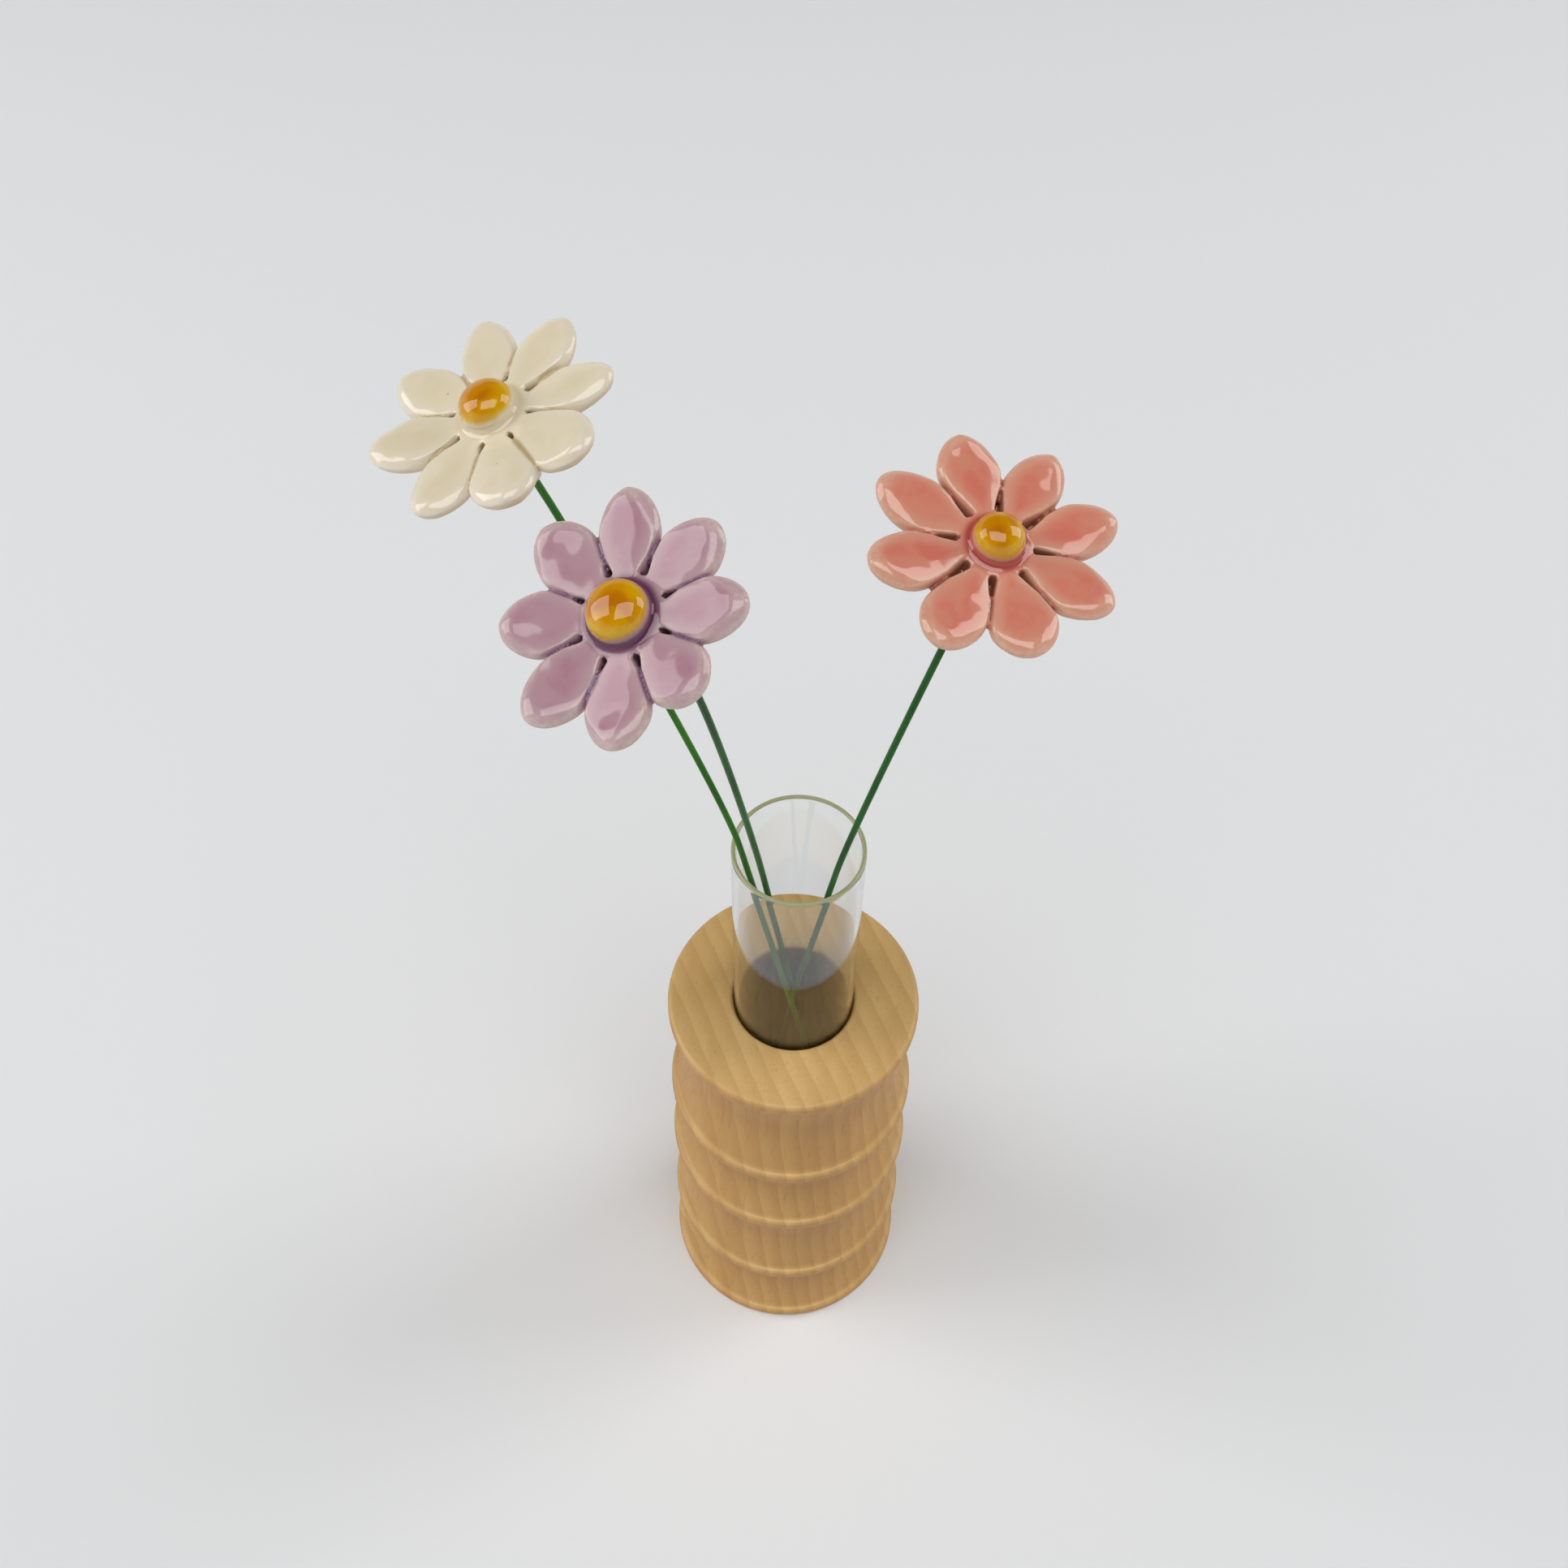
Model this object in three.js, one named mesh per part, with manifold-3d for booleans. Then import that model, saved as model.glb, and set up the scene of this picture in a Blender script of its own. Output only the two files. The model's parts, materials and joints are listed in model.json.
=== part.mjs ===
// Three glazed ceramic daisies on coated wire stems, in a glass tube in a turned wooden stand.
// Millimetres, +Z up. The origin is the centre of the stand's base, and -Y is the front.
import * as THREE from "three";
import { mergeVertices } from "three/addons/utils/BufferGeometryUtils.js";
import Module from "manifold-3d";

// Clearances
const SEAT_GAP = 0.3;
const BORE_CLEARANCE = 0.4;
const GLUE_GAP = 0.1;
const CORE_GAP = 0.1;

// Stand: rib bands with coves between them, from the base up
const STAND_BASE_RADIUS = 28.4;
const STAND_TOP_RADIUS = 26.4;
const RIB_BAND = 3.2;
const RIB_FILLET = 1.2;
const COVE_SPANS = [22.2, 26.4, 21.4, 29];
const COVE_DEPTH = 4.2;
const BORE_DEPTH = 47;
const BORE_CHAMFER = 0.8;

// Tube
const TUBE_OUTER_RADIUS = 12.5;
const TUBE_WALL = 1.2;
const TUBE_LENGTH = 100;

// Stem: a steel core in a plastic coat, straight in the tube and bent above its rim
const CORE_RADIUS = 0.3;
const COAT_WALL = 0.175;
const RIM_LEAD = 6;
const RIM_BEND = 16;
const HEAD_LEAD = 6;
const HEAD_BEND = 8;

// Socket on the back of a head
const SOCKET_LENGTH = 9.5;
const SOCKET_ROOT_RADIUS = 3.3;
const SOCKET_LIP = 0.55;
const SOCKET_TAPER = 0.6;
const SOCKET_FLARE_LENGTH = 3.7;
const SOCKET_BACK = 2.4;
const GLUE_FILM = 0.225;

// Petal slab
const PETAL_COUNT = 8;
const PETAL_WIDTH = 9.2;
const PETAL_CROWN = 1.9;
const PETAL_UNDERSIDE = 1.5;
const PETAL_SHOULDER = 8;
const TIP_POWER = 1.7;
const TIP_ROUNDING = 1.8;
const SECTION_POWER = 0.45;
const PETAL_ROOT = 1.5;
const PETAL_JOIN = 0.3;
const SLOT_WIDTH = 1;
const SLOT_LENGTH = 4;
const HUB_MARGIN = 1.4;
const HUB_ROUNDING = 0.5;
const BOSS_MARGIN = 0.3;
const BOSS_FLARE = 0.35;
const BOSS_HEIGHT = 1.3;

// Centre button
const DOME_HEIGHT = 2.4;
const PLUG_DEPTH = 0.9;
const PLUG_MARGIN = 0.9;

// The three daisies. A head's place is its hub's centre, with its height taken from the tube's rim.
// Stem angles are in degrees about the tube's axis. Turns, growths in length and spreads in width are
// each petal's own.
const DAISIES = [
  {
    name: "white",
    glaze: "#e6d9bd",
    coat: "#2f6b2a",
    head: { x: -42.75, y: 0.8, aboveRim: 96.6 },
    facing: [-0.301, -0.116, 0.946],
    spin: -9.5,
    reach: 17.8,
    cupping: 2.5,
    domeRadius: 3.9,
    rimAngle: 204,
    footAngle: 325.5,
    footInset: 0.75,
    turns: [1.5, 3, 3.5, 3, -3.5, -6.5, -2, -1],
    growths: [-0.9, -0.7, -0.2, 0.7, 0.1, 0.3, 0, -1],
    spreads: [-0.6, -0.6, -0.6, 1.6, 1.8, 0.2, -0.6, 0.2],
  },
  {
    name: "lilac",
    glaze: "#bd9db1",
    coat: "#2a5a38",
    head: { x: -23, y: -30.6, aboveRim: 91.6 },
    facing: [-0.327, -0.345, 0.88],
    spin: 8.6,
    reach: 17.2,
    cupping: 2.5,
    domeRadius: 4.2,
    rimAngle: 236,
    footAngle: 60.6,
    footInset: 1.25,
    turns: [0.5, 2.5, -0.5, 2, -1.5, -4, -1, 2],
    growths: [-0.1, -0.7, -0.3, -1.5, 0.4, 0.5, -0.4, -0.4],
    spreads: [-0.2, 0, 0.2, 2, 0, 0, 1, 0.6],
  },
  {
    name: "coral",
    glaze: "#d98a78",
    coat: "#2a5a34",
    head: { x: 23.7, y: -14.7, aboveRim: 89.8 },
    facing: [0.145, -0.234, 0.961],
    spin: -19.3,
    reach: 17.6,
    cupping: 3,
    domeRadius: 3.5,
    rimAngle: 303.5,
    footAngle: 140.7,
    footInset: 3.3,
    turns: [-0.5, 3, 0, 1, 1, 0, -3, -1],
    growths: [-1, -1.2, -0.2, -0.1, -0.6, 0.8, 0.8, 0.1],
    spreads: [0, -1, -0.4, -0.4, 1.6, 0, -0.8, -0.8],
  },
];

// Facets
const STAND_SIDES = 30;
const TUBE_SIDES = 32;
const BUTTON_SIDES = 18;
const SOCKET_SIDES = 16;
const ARC_STEPS = 2;
const COVE_STEPS = 5;
const ROUND_STEPS = 5;
const PETAL_STATIONS = 9;
const PETAL_SECTION = 10;
const STEM_STEPS = 20;
const COAT_SEGMENTS = 4;
const CORE_SEGMENTS = 3;
const MERGE_TOLERANCE = 1e-5;

// Levels that follow from the sizes above
const STAND_HEIGHT = COVE_SPANS.reduce((sum, span) => sum + span + RIB_BAND, RIB_BAND);
const BORE_RADIUS = TUBE_OUTER_RADIUS + BORE_CLEARANCE;
const BORE_FLOOR = STAND_HEIGHT - BORE_DEPTH;
const TUBE_FOOT = BORE_FLOOR + SEAT_GAP;
const TUBE_RIM = TUBE_FOOT + TUBE_LENGTH;
const TUBE_INNER_RADIUS = TUBE_OUTER_RADIUS - TUBE_WALL;
const COAT_BORE_RADIUS = CORE_RADIUS + CORE_GAP;
const COAT_RADIUS = COAT_BORE_RADIUS + COAT_WALL;
const STEM_REACH = TUBE_INNER_RADIUS - COAT_RADIUS - SEAT_GAP;
const SOCKET_BORE_RADIUS = COAT_RADIUS + GLUE_FILM + 2 * GLUE_GAP;
const SOCKET_END_RADIUS = SOCKET_BORE_RADIUS + SOCKET_LIP;
const SOCKET_ROOT = -PETAL_UNDERSIDE - SEAT_GAP;
const SOCKET_END = SOCKET_ROOT - SOCKET_LENGTH;
const SOCKET_BORE_END = SOCKET_ROOT - SOCKET_BACK;
const STEM_END = SOCKET_BORE_END - SEAT_GAP;
const BOSS_TOP = PETAL_CROWN + BOSS_HEIGHT;

const wasm = await Module();
wasm.setup();

function solidOf(geometry) {
  const bare = geometry.clone();
  bare.deleteAttribute("normal");
  bare.deleteAttribute("uv");
  const merged = mergeVertices(bare, MERGE_TOLERANCE);
  const vertProperties = new Float32Array(merged.attributes.position.array);
  const triVerts = new Uint32Array(merged.index.array);
  return new wasm.Manifold(new wasm.Mesh({ numProp: 3, vertProperties, triVerts }));
}

function geometryOf(solid) {
  const { vertProperties, triVerts } = solid.getMesh();
  const geometry = new THREE.BufferGeometry();
  geometry.setAttribute("position", new THREE.BufferAttribute(new Float32Array(vertProperties), 3));
  geometry.setIndex(new THREE.BufferAttribute(new Uint32Array(triVerts), 1));
  geometry.computeVertexNormals();
  return geometry;
}

// A turned solid about +Z from [radius, height] pairs, listed from its lowest point outwards and up.
function turned(profile, sides) {
  const points = profile.map(([radius, height]) => new THREE.Vector2(radius, height));
  const geometry = new THREE.LatheGeometry(points, sides);
  geometry.rotateX(Math.PI / 2);
  return geometry;
}

// Points of an arc about [radius, height], without its first point.
function arc([radius, height], size, from, to, steps) {
  const points = [];
  for (let i = 1; i <= steps; i += 1) {
    const angle = from + ((to - from) * i) / steps;
    points.push([radius + size * Math.cos(angle), height + size * Math.sin(angle)]);
  }
  return points;
}

function standProfile() {
  const ribs = COVE_SPANS.length + 1;
  const profile = [[0, 0]];
  let level = 0;
  for (let rib = 0; rib < ribs; rib += 1) {
    const share = rib / (ribs - 1);
    const radius = THREE.MathUtils.lerp(STAND_BASE_RADIUS, STAND_TOP_RADIUS, share);
    const inner = radius - RIB_FILLET;
    profile.push([inner, level]);
    profile.push(...arc([inner, level + RIB_FILLET], RIB_FILLET, -Math.PI / 2, 0, ARC_STEPS));
    level += RIB_BAND;
    profile.push([radius, level - RIB_FILLET]);
    profile.push(...arc([inner, level - RIB_FILLET], RIB_FILLET, 0, Math.PI / 2, ARC_STEPS));
    if (rib < COVE_SPANS.length) {
      const taper = (STAND_TOP_RADIUS - STAND_BASE_RADIUS) / (ribs - 1);
      for (let i = 1; i < COVE_STEPS; i += 1) {
        const along = i / COVE_STEPS;
        const depth = (COVE_DEPTH - RIB_FILLET) * Math.sin(Math.PI * along);
        profile.push([inner + taper * along - depth, level + COVE_SPANS[rib] * along]);
      }
      level += COVE_SPANS[rib];
    }
  }
  profile.push([BORE_RADIUS + BORE_CHAMFER, STAND_HEIGHT]);
  profile.push([BORE_RADIUS, STAND_HEIGHT - BORE_CHAMFER]);
  profile.push([BORE_RADIUS, BORE_FLOOR]);
  profile.push([0, BORE_FLOOR]);
  return profile;
}

function tubeProfile() {
  const centre = TUBE_FOOT + TUBE_OUTER_RADIUS;
  const rim = TUBE_WALL / 2;
  const middle = TUBE_INNER_RADIUS + rim;
  return [
    [0, TUBE_FOOT],
    ...arc([0, centre], TUBE_OUTER_RADIUS, -Math.PI / 2, 0, ROUND_STEPS),
    [TUBE_OUTER_RADIUS, TUBE_RIM - rim],
    ...arc([middle, TUBE_RIM - rim], rim, 0, Math.PI, 2 * ARC_STEPS),
    [TUBE_INNER_RADIUS, centre],
    ...arc([0, centre], TUBE_INNER_RADIUS, 0, -Math.PI / 2, ROUND_STEPS),
  ];
}

// The hub reaches from the middle to the inner ends of the slots between the petals.
function hubRadius(daisy) {
  return daisy.domeRadius + BOSS_MARGIN + HUB_MARGIN;
}

// The opening between two petals: a slot that narrows outwards, then a join where they run together.
function openingWidth(radius, hub) {
  const along = THREE.MathUtils.clamp((radius - hub) / SLOT_LENGTH, 0, 1);
  return THREE.MathUtils.lerp(SLOT_WIDTH, -PETAL_JOIN, along);
}

// A petal's half width on one side: its sector less the opening, then a round tip.
function halfWidth(radius, hub, reach, widest, halfAngle) {
  const sector = radius * Math.tan(halfAngle) - openingWidth(radius, hub) / 2;
  const past = Math.max(0, (radius - reach + PETAL_SHOULDER) / PETAL_SHOULDER);
  const tip = (widest / 2) * Math.sqrt(1 - past ** TIP_POWER);
  return Math.min(sector, tip);
}

function powered(value) {
  return Math.sign(value) * Math.abs(value) ** SECTION_POWER;
}

// One pillowed petal along +Y, lofted through rounded sections from inside the hub to its tip.
function petalGeometry(daisy, growth, spread, leftAngle, rightAngle) {
  const reach = daisy.reach + growth;
  const widest = PETAL_WIDTH + spread;
  const hub = hubRadius(daisy);
  const start = hub - PETAL_ROOT;
  const cup = (x, y) => (daisy.cupping * (x * x + y * y)) / (daisy.reach * daisy.reach);
  const positions = [0, start, cup(0, start)];
  for (let station = 0; station < PETAL_STATIONS; station += 1) {
    const radius = start + (reach - start) * Math.sin((Math.PI / 2) * (station / PETAL_STATIONS));
    const past = Math.max(0, (radius - reach + TIP_ROUNDING) / TIP_ROUNDING);
    const thickness = Math.sqrt(1 - past * past);
    for (let i = 0; i < PETAL_SECTION; i += 1) {
      const angle = (2 * Math.PI * i) / PETAL_SECTION;
      const across = powered(Math.cos(angle));
      const up = powered(Math.sin(angle));
      const width = halfWidth(radius, hub, reach, widest, across > 0 ? rightAngle : leftAngle);
      const height = thickness * (up > 0 ? PETAL_CROWN : PETAL_UNDERSIDE);
      const x = width * across;
      positions.push(x, radius, height * up + cup(x, radius));
    }
  }
  positions.push(0, reach, cup(0, reach));
  const last = positions.length / 3 - 1;
  const ringPoint = (station, i) => 1 + station * PETAL_SECTION + (i % PETAL_SECTION);
  const index = [];
  for (let i = 0; i < PETAL_SECTION; i += 1) {
    index.push(0, ringPoint(0, i), ringPoint(0, i + 1));
    for (let station = 0; station + 1 < PETAL_STATIONS; station += 1) {
      const [a, b] = [ringPoint(station, i), ringPoint(station, i + 1)];
      const [c, d] = [ringPoint(station + 1, i), ringPoint(station + 1, i + 1)];
      index.push(a, c, b, b, c, d);
    }
    index.push(ringPoint(PETAL_STATIONS - 1, i), last, ringPoint(PETAL_STATIONS - 1, i + 1));
  }
  const geometry = new THREE.BufferGeometry();
  geometry.setAttribute("position", new THREE.Float32BufferAttribute(positions, 3));
  geometry.setIndex(index);
  return geometry;
}

// The hub that carries the petals, with the boss and the shallow seat of the centre button.
function hubGeometry(daisy) {
  const hub = hubRadius(daisy);
  const boss = daisy.domeRadius + BOSS_MARGIN;
  const seat = daisy.domeRadius - PLUG_MARGIN + SEAT_GAP;
  const seatFloor = BOSS_TOP - PLUG_DEPTH;
  const edge = PETAL_CROWN - HUB_ROUNDING;
  return turned([
    [0, -PETAL_UNDERSIDE],
    [hub - HUB_ROUNDING, -PETAL_UNDERSIDE],
    [hub, HUB_ROUNDING - PETAL_UNDERSIDE],
    [hub, edge],
    [boss + BOSS_FLARE, PETAL_CROWN],
    [boss, BOSS_TOP],
    [seat, BOSS_TOP],
    [seat, seatFloor],
    [0, seatFloor],
  ], BUTTON_SIDES);
}

function petalSlab(daisy) {
  const pitch = (2 * Math.PI) / PETAL_COUNT;
  const own = (list, k) => list[((k + PETAL_COUNT) % PETAL_COUNT) % list.length];
  const turn = (k) => THREE.MathUtils.degToRad(own(daisy.turns, k));
  let slab = solidOf(hubGeometry(daisy));
  for (let k = 0; k < PETAL_COUNT; k += 1) {
    const rightAngle = (pitch + turn(k + 1) - turn(k)) / 2;
    const leftAngle = (pitch + turn(k) - turn(k - 1)) / 2;
    const [growth, spread] = [own(daisy.growths, k), own(daisy.spreads, k)];
    const petal = petalGeometry(daisy, growth, spread, leftAngle, rightAngle);
    petal.rotateZ(-THREE.MathUtils.degToRad(daisy.spin) - k * pitch - turn(k));
    slab = slab.add(solidOf(petal));
  }
  return geometryOf(slab);
}

function centreGeometry(daisy) {
  const plug = daisy.domeRadius - PLUG_MARGIN;
  const foot = BOSS_TOP - PLUG_DEPTH + SEAT_GAP;
  const seat = BOSS_TOP + SEAT_GAP;
  const profile = [[0, foot], [plug, foot], [plug, seat]];
  for (let i = 0; i <= ROUND_STEPS; i += 1) {
    const angle = (Math.PI / 2) * (i / ROUND_STEPS);
    const radius = i < ROUND_STEPS ? daisy.domeRadius * Math.cos(angle) : 0;
    profile.push([radius, seat + DOME_HEIGHT * Math.sin(angle)]);
  }
  return turned(profile, BUTTON_SIDES);
}

function socketGeometry() {
  const waist = SOCKET_END_RADIUS + SOCKET_TAPER;
  return turned([
    [0, SOCKET_BORE_END],
    [SOCKET_BORE_RADIUS, SOCKET_BORE_END],
    [SOCKET_BORE_RADIUS, SOCKET_END],
    [SOCKET_END_RADIUS, SOCKET_END],
    [waist, SOCKET_ROOT - SOCKET_FLARE_LENGTH],
    [SOCKET_ROOT_RADIUS, SOCKET_ROOT],
    [0, SOCKET_ROOT],
  ], SOCKET_SIDES);
}

function glueGeometry() {
  const inner = COAT_RADIUS + GLUE_GAP;
  const outer = SOCKET_BORE_RADIUS - GLUE_GAP;
  return turned([
    [inner, SOCKET_END],
    [outer, SOCKET_END],
    [outer, STEM_END],
    [inner, STEM_END],
    [inner, SOCKET_END],
  ], SOCKET_SIDES);
}

// The head's own axes in the part: +Z is the way it faces, and +Y points away from the front.
function headMatrix(daisy) {
  const facing = new THREE.Vector3(...daisy.facing).normalize();
  const away = new THREE.Vector3(0, 1, 0).addScaledVector(facing, -facing.y).normalize();
  const side = new THREE.Vector3().crossVectors(away, facing);
  const place = new THREE.Vector3(daisy.head.x, daisy.head.y, TUBE_RIM + daisy.head.aboveRim);
  return new THREE.Matrix4().makeBasis(side, away, facing).setPosition(place);
}

function aboutTube(degrees, distance, height) {
  const angle = THREE.MathUtils.degToRad(degrees);
  return new THREE.Vector3(distance * Math.cos(angle), distance * Math.sin(angle), height);
}

// The stem's foot stands on the tube's round bottom, and its straight run leans on the rim.
function stemRun(daisy) {
  const distance = STEM_REACH - daisy.footInset;
  const drop = Math.sqrt(STEM_REACH ** 2 - distance ** 2);
  const foot = aboutTube(daisy.footAngle, distance, TUBE_FOOT + TUBE_OUTER_RADIUS - drop);
  const rim = aboutTube(daisy.rimAngle, STEM_REACH, TUBE_RIM);
  return { foot, rim, way: rim.clone().sub(foot).normalize() };
}

// The stem's centre line from its foot, over the rim and into the socket.
function stemPath(daisy) {
  const { foot, rim, way } = stemRun(daisy);
  const matrix = headMatrix(daisy);
  const facing = new THREE.Vector3(...daisy.facing).normalize();
  const mouth = new THREE.Vector3(0, 0, SOCKET_END - HEAD_LEAD).applyMatrix4(matrix);
  const end = new THREE.Vector3(0, 0, STEM_END).applyMatrix4(matrix);
  const bend = rim.clone().addScaledVector(way, RIM_LEAD);
  const path = new THREE.CurvePath();
  path.add(new THREE.LineCurve3(foot, bend));
  path.add(new THREE.CubicBezierCurve3(
    bend,
    bend.clone().addScaledVector(way, RIM_BEND),
    mouth.clone().addScaledVector(facing, -HEAD_BEND),
    mouth,
  ));
  path.add(new THREE.LineCurve3(mouth, end));
  return path;
}

function roundSection(outer, inner) {
  const section = new THREE.Shape();
  section.absarc(0, 0, outer, 0, 2 * Math.PI);
  if (inner > 0) {
    const hole = new THREE.Path();
    hole.absarc(0, 0, inner, 0, 2 * Math.PI);
    section.holes.push(hole);
  }
  return section;
}

function swept(section, extrudePath, curveSegments) {
  const options = { steps: STEM_STEPS, curveSegments, extrudePath, bevelEnabled: false };
  return new THREE.ExtrudeGeometry(section, options);
}

function namedMesh(name, geometry, color, roughness, metalness = 0) {
  const mesh = new THREE.Mesh(geometry, new THREE.MeshStandardMaterial({ color, roughness, metalness }));
  mesh.name = name;
  return mesh;
}

function daisyGroup(daisy) {
  const { name } = daisy;
  const group = new THREE.Group();
  const head = new THREE.Group();
  head.applyMatrix4(headMatrix(daisy));
  head.add(namedMesh(`${name}_petals`, petalSlab(daisy), daisy.glaze, 0.12));
  head.add(namedMesh(`${name}_centre`, centreGeometry(daisy), "#c87a12", 0.08));
  head.add(namedMesh(`${name}_socket`, socketGeometry(), "#c9a891", 0.6));
  head.add(namedMesh(`${name}_glue`, glueGeometry(), "#d8d2c0", 0.3));
  const path = stemPath(daisy);
  const coat = swept(roundSection(COAT_RADIUS, COAT_BORE_RADIUS), path, COAT_SEGMENTS);
  const core = swept(roundSection(CORE_RADIUS, 0), path, CORE_SEGMENTS);
  group.add(head);
  group.add(namedMesh(`${name}_coat`, coat, daisy.coat, 0.4));
  group.add(namedMesh(`${name}_core`, core, "#8d9094", 0.35, 1));
  return group;
}

const ornament = new THREE.Group();
ornament.add(namedMesh("stand", turned(standProfile(), STAND_SIDES), "#c4a36d", 0.5));
const glass = namedMesh("tube", turned(tubeProfile(), TUBE_SIDES), "#e4ecea", 0.03);
glass.material.transparent = true;
glass.material.opacity = 0.35;
ornament.add(glass);
for (const daisy of DAISIES) {
  ornament.add(daisyGroup(daisy));
}

export default ornament;
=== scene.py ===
# %% [markdown]
# Three ceramic daisies stand on coated wires in a glass tube, and the tube stands in a turned wooden
# stand. The solid model of the ornament is loaded first, as a fixed frame in metres. Pieces could be
# modelled at the origin and moved by their objects, but here a finished piece has its place in its mesh,
# where its solid is, so nothing is fitted later. Sizes of pieces are written in millimetres and become
# metres where a mesh is made, and the ground and the lights are in metres.

# %% Load the frame
import json
import math

import bpy
import numpy as np
from mathutils import Matrix, Vector
from mathutils.geometry import interpolate_bezier

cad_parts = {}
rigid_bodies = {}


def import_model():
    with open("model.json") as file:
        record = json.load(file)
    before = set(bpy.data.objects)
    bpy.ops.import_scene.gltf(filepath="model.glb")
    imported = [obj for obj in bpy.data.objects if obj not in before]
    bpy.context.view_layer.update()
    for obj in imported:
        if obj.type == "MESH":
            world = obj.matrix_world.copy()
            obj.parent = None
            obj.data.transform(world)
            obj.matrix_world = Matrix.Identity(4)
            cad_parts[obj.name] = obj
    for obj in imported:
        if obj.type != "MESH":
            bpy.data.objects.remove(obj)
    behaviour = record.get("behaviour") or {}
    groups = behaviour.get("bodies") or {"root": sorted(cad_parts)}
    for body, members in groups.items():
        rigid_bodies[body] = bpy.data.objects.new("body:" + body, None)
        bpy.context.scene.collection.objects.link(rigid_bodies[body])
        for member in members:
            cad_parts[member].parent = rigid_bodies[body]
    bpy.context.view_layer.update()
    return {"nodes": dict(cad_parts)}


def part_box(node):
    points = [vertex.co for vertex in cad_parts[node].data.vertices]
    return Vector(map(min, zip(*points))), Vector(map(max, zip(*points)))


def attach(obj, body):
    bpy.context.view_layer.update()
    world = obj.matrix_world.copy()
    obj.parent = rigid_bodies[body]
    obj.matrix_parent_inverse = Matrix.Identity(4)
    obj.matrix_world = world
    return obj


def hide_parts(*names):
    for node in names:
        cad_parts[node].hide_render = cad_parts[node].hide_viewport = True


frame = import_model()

MM = 0.001
print("Nodes:", len(frame["nodes"]))

# %% [markdown]
# The camera looks steeply down on the flowers. It could be set by eye, but its place, pitch and roll are
# worked out: with these values the tube's rim, the stand's ribs and the petal tips fall where the
# photograph has them. The lens is as long as the sensor is wide, so one image width equals the focal
# length.

# %% Camera
CAMERA_PLACE = Vector((-3.04, -165.62, 402.84)) * MM
CAMERA_PITCH = math.radians(52.44)
CAMERA_ROLL = math.radians(1.36)
SENSOR_WIDTH = 36
NEAR_CLIP = 5 * MM


def placed_object(name, data):
    """A new object in the scene."""
    made = bpy.data.objects.new(name, data)
    bpy.context.scene.collection.objects.link(made)
    return made


def camera_matrix(place, pitch, roll):
    """A camera at place that looks along +Y, pitched down, then rolled about its own axis."""
    forward = Vector((0, math.cos(pitch), -math.sin(pitch)))
    level_up = Vector((0, math.sin(pitch), math.cos(pitch)))
    level_right = Vector((1, 0, 0))
    right = level_right * math.cos(roll) + level_up * math.sin(roll)
    up = level_up * math.cos(roll) - level_right * math.sin(roll)
    matrix = Matrix((right, up, -forward)).transposed().to_4x4()
    matrix.translation = place
    return matrix


camera_data = bpy.data.cameras.new("photo_camera")
camera_data.sensor_width = SENSOR_WIDTH
camera_data.lens = SENSOR_WIDTH
camera_data.clip_start = NEAR_CLIP
camera = placed_object("photo_camera", camera_data)
camera.matrix_world = camera_matrix(CAMERA_PLACE, CAMERA_PITCH, CAMERA_ROLL)
bpy.context.scene.camera = camera
print("Camera:", [round(value, 4) for value in camera.location])

# %% [markdown]
# Colours are easiest to read as 0 to 255 display values, but shaders work in linear light, so one helper
# converts them. A node tree could be wired link by link, which takes many lines. Here one helper adds a
# node, makes its settings and feeds its inputs.

# %% Colour and node helpers


def tone(red, green, blue):
    """A linear colour from 0 to 255 display values."""
    channels = [value / 255 for value in (red, green, blue)]
    linear = [c / 12.92 if c <= 0.04045 else ((c + 0.055) / 1.055) ** 2.4 for c in channels]
    return (*linear, 1.0)


def feed(tree, node, values):
    """Feeds a node's inputs: a socket is linked to its input, and any other value is set on it."""
    for name, value in values.items():
        if isinstance(value, bpy.types.NodeSocket):
            tree.links.new(value, node.inputs[name])
        else:
            node.inputs[name].default_value = value


def add_node(tree, kind, values=None, **settings):
    """Adds a node, makes its settings and feeds its inputs."""
    node = tree.nodes.new(kind)
    for name, value in settings.items():
        setattr(node, name, value)
    feed(tree, node, values or {})
    return node


def maths(tree, operation, first, second=0.0):
    return add_node(tree, "ShaderNodeMath", {0: first, 1: second}, operation=operation).outputs[0]


def new_material(name):
    """A material with one Principled shader; returns the material, its tree and the shader."""
    material = bpy.data.materials.new(name)
    material.use_nodes = True
    tree = material.node_tree
    tree.nodes.clear()
    shader = add_node(tree, "ShaderNodeBsdfPrincipled")
    add_node(tree, "ShaderNodeOutputMaterial", {"Surface": shader.outputs["BSDF"]})
    return material, tree, shader


print("Node helpers ready; mid grey is", round(tone(128, 128, 128)[0], 3), "in linear light")

# %% [markdown]
# A finish is a pattern over a shape: clouds, streaks, specks and marks that are stored on the mesh.
# Pictures could carry the patterns, but they need unwrapping and blur close up, so noise in Object
# coordinates makes them, which stays with the piece when it moves. Each helper here adds one kind of node
# and returns the socket to read, and the last one turns a height into a bump.

# %% Finish helpers


def attribute(tree, name):
    return add_node(tree, "ShaderNodeAttribute", attribute_name=name).outputs["Fac"]


def place_in_object(tree, rotation=(0, 0, 0), scale=(1, 1, 1)):
    """Object coordinates, turned and stretched."""
    spot = add_node(tree, "ShaderNodeTexCoord").outputs["Object"]
    values = {"Vector": spot, "Rotation": rotation, "Scale": scale}
    return add_node(tree, "ShaderNodeMapping", values).outputs["Vector"]


def noise(tree, spot, scale, detail=2.0, roughness=0.5, distortion=0.0):
    values = {"Vector": spot, "Scale": scale, "Detail": detail, "Roughness": roughness}
    return add_node(tree, "ShaderNodeTexNoise", {**values, "Distortion": distortion}).outputs["Fac"]


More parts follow.
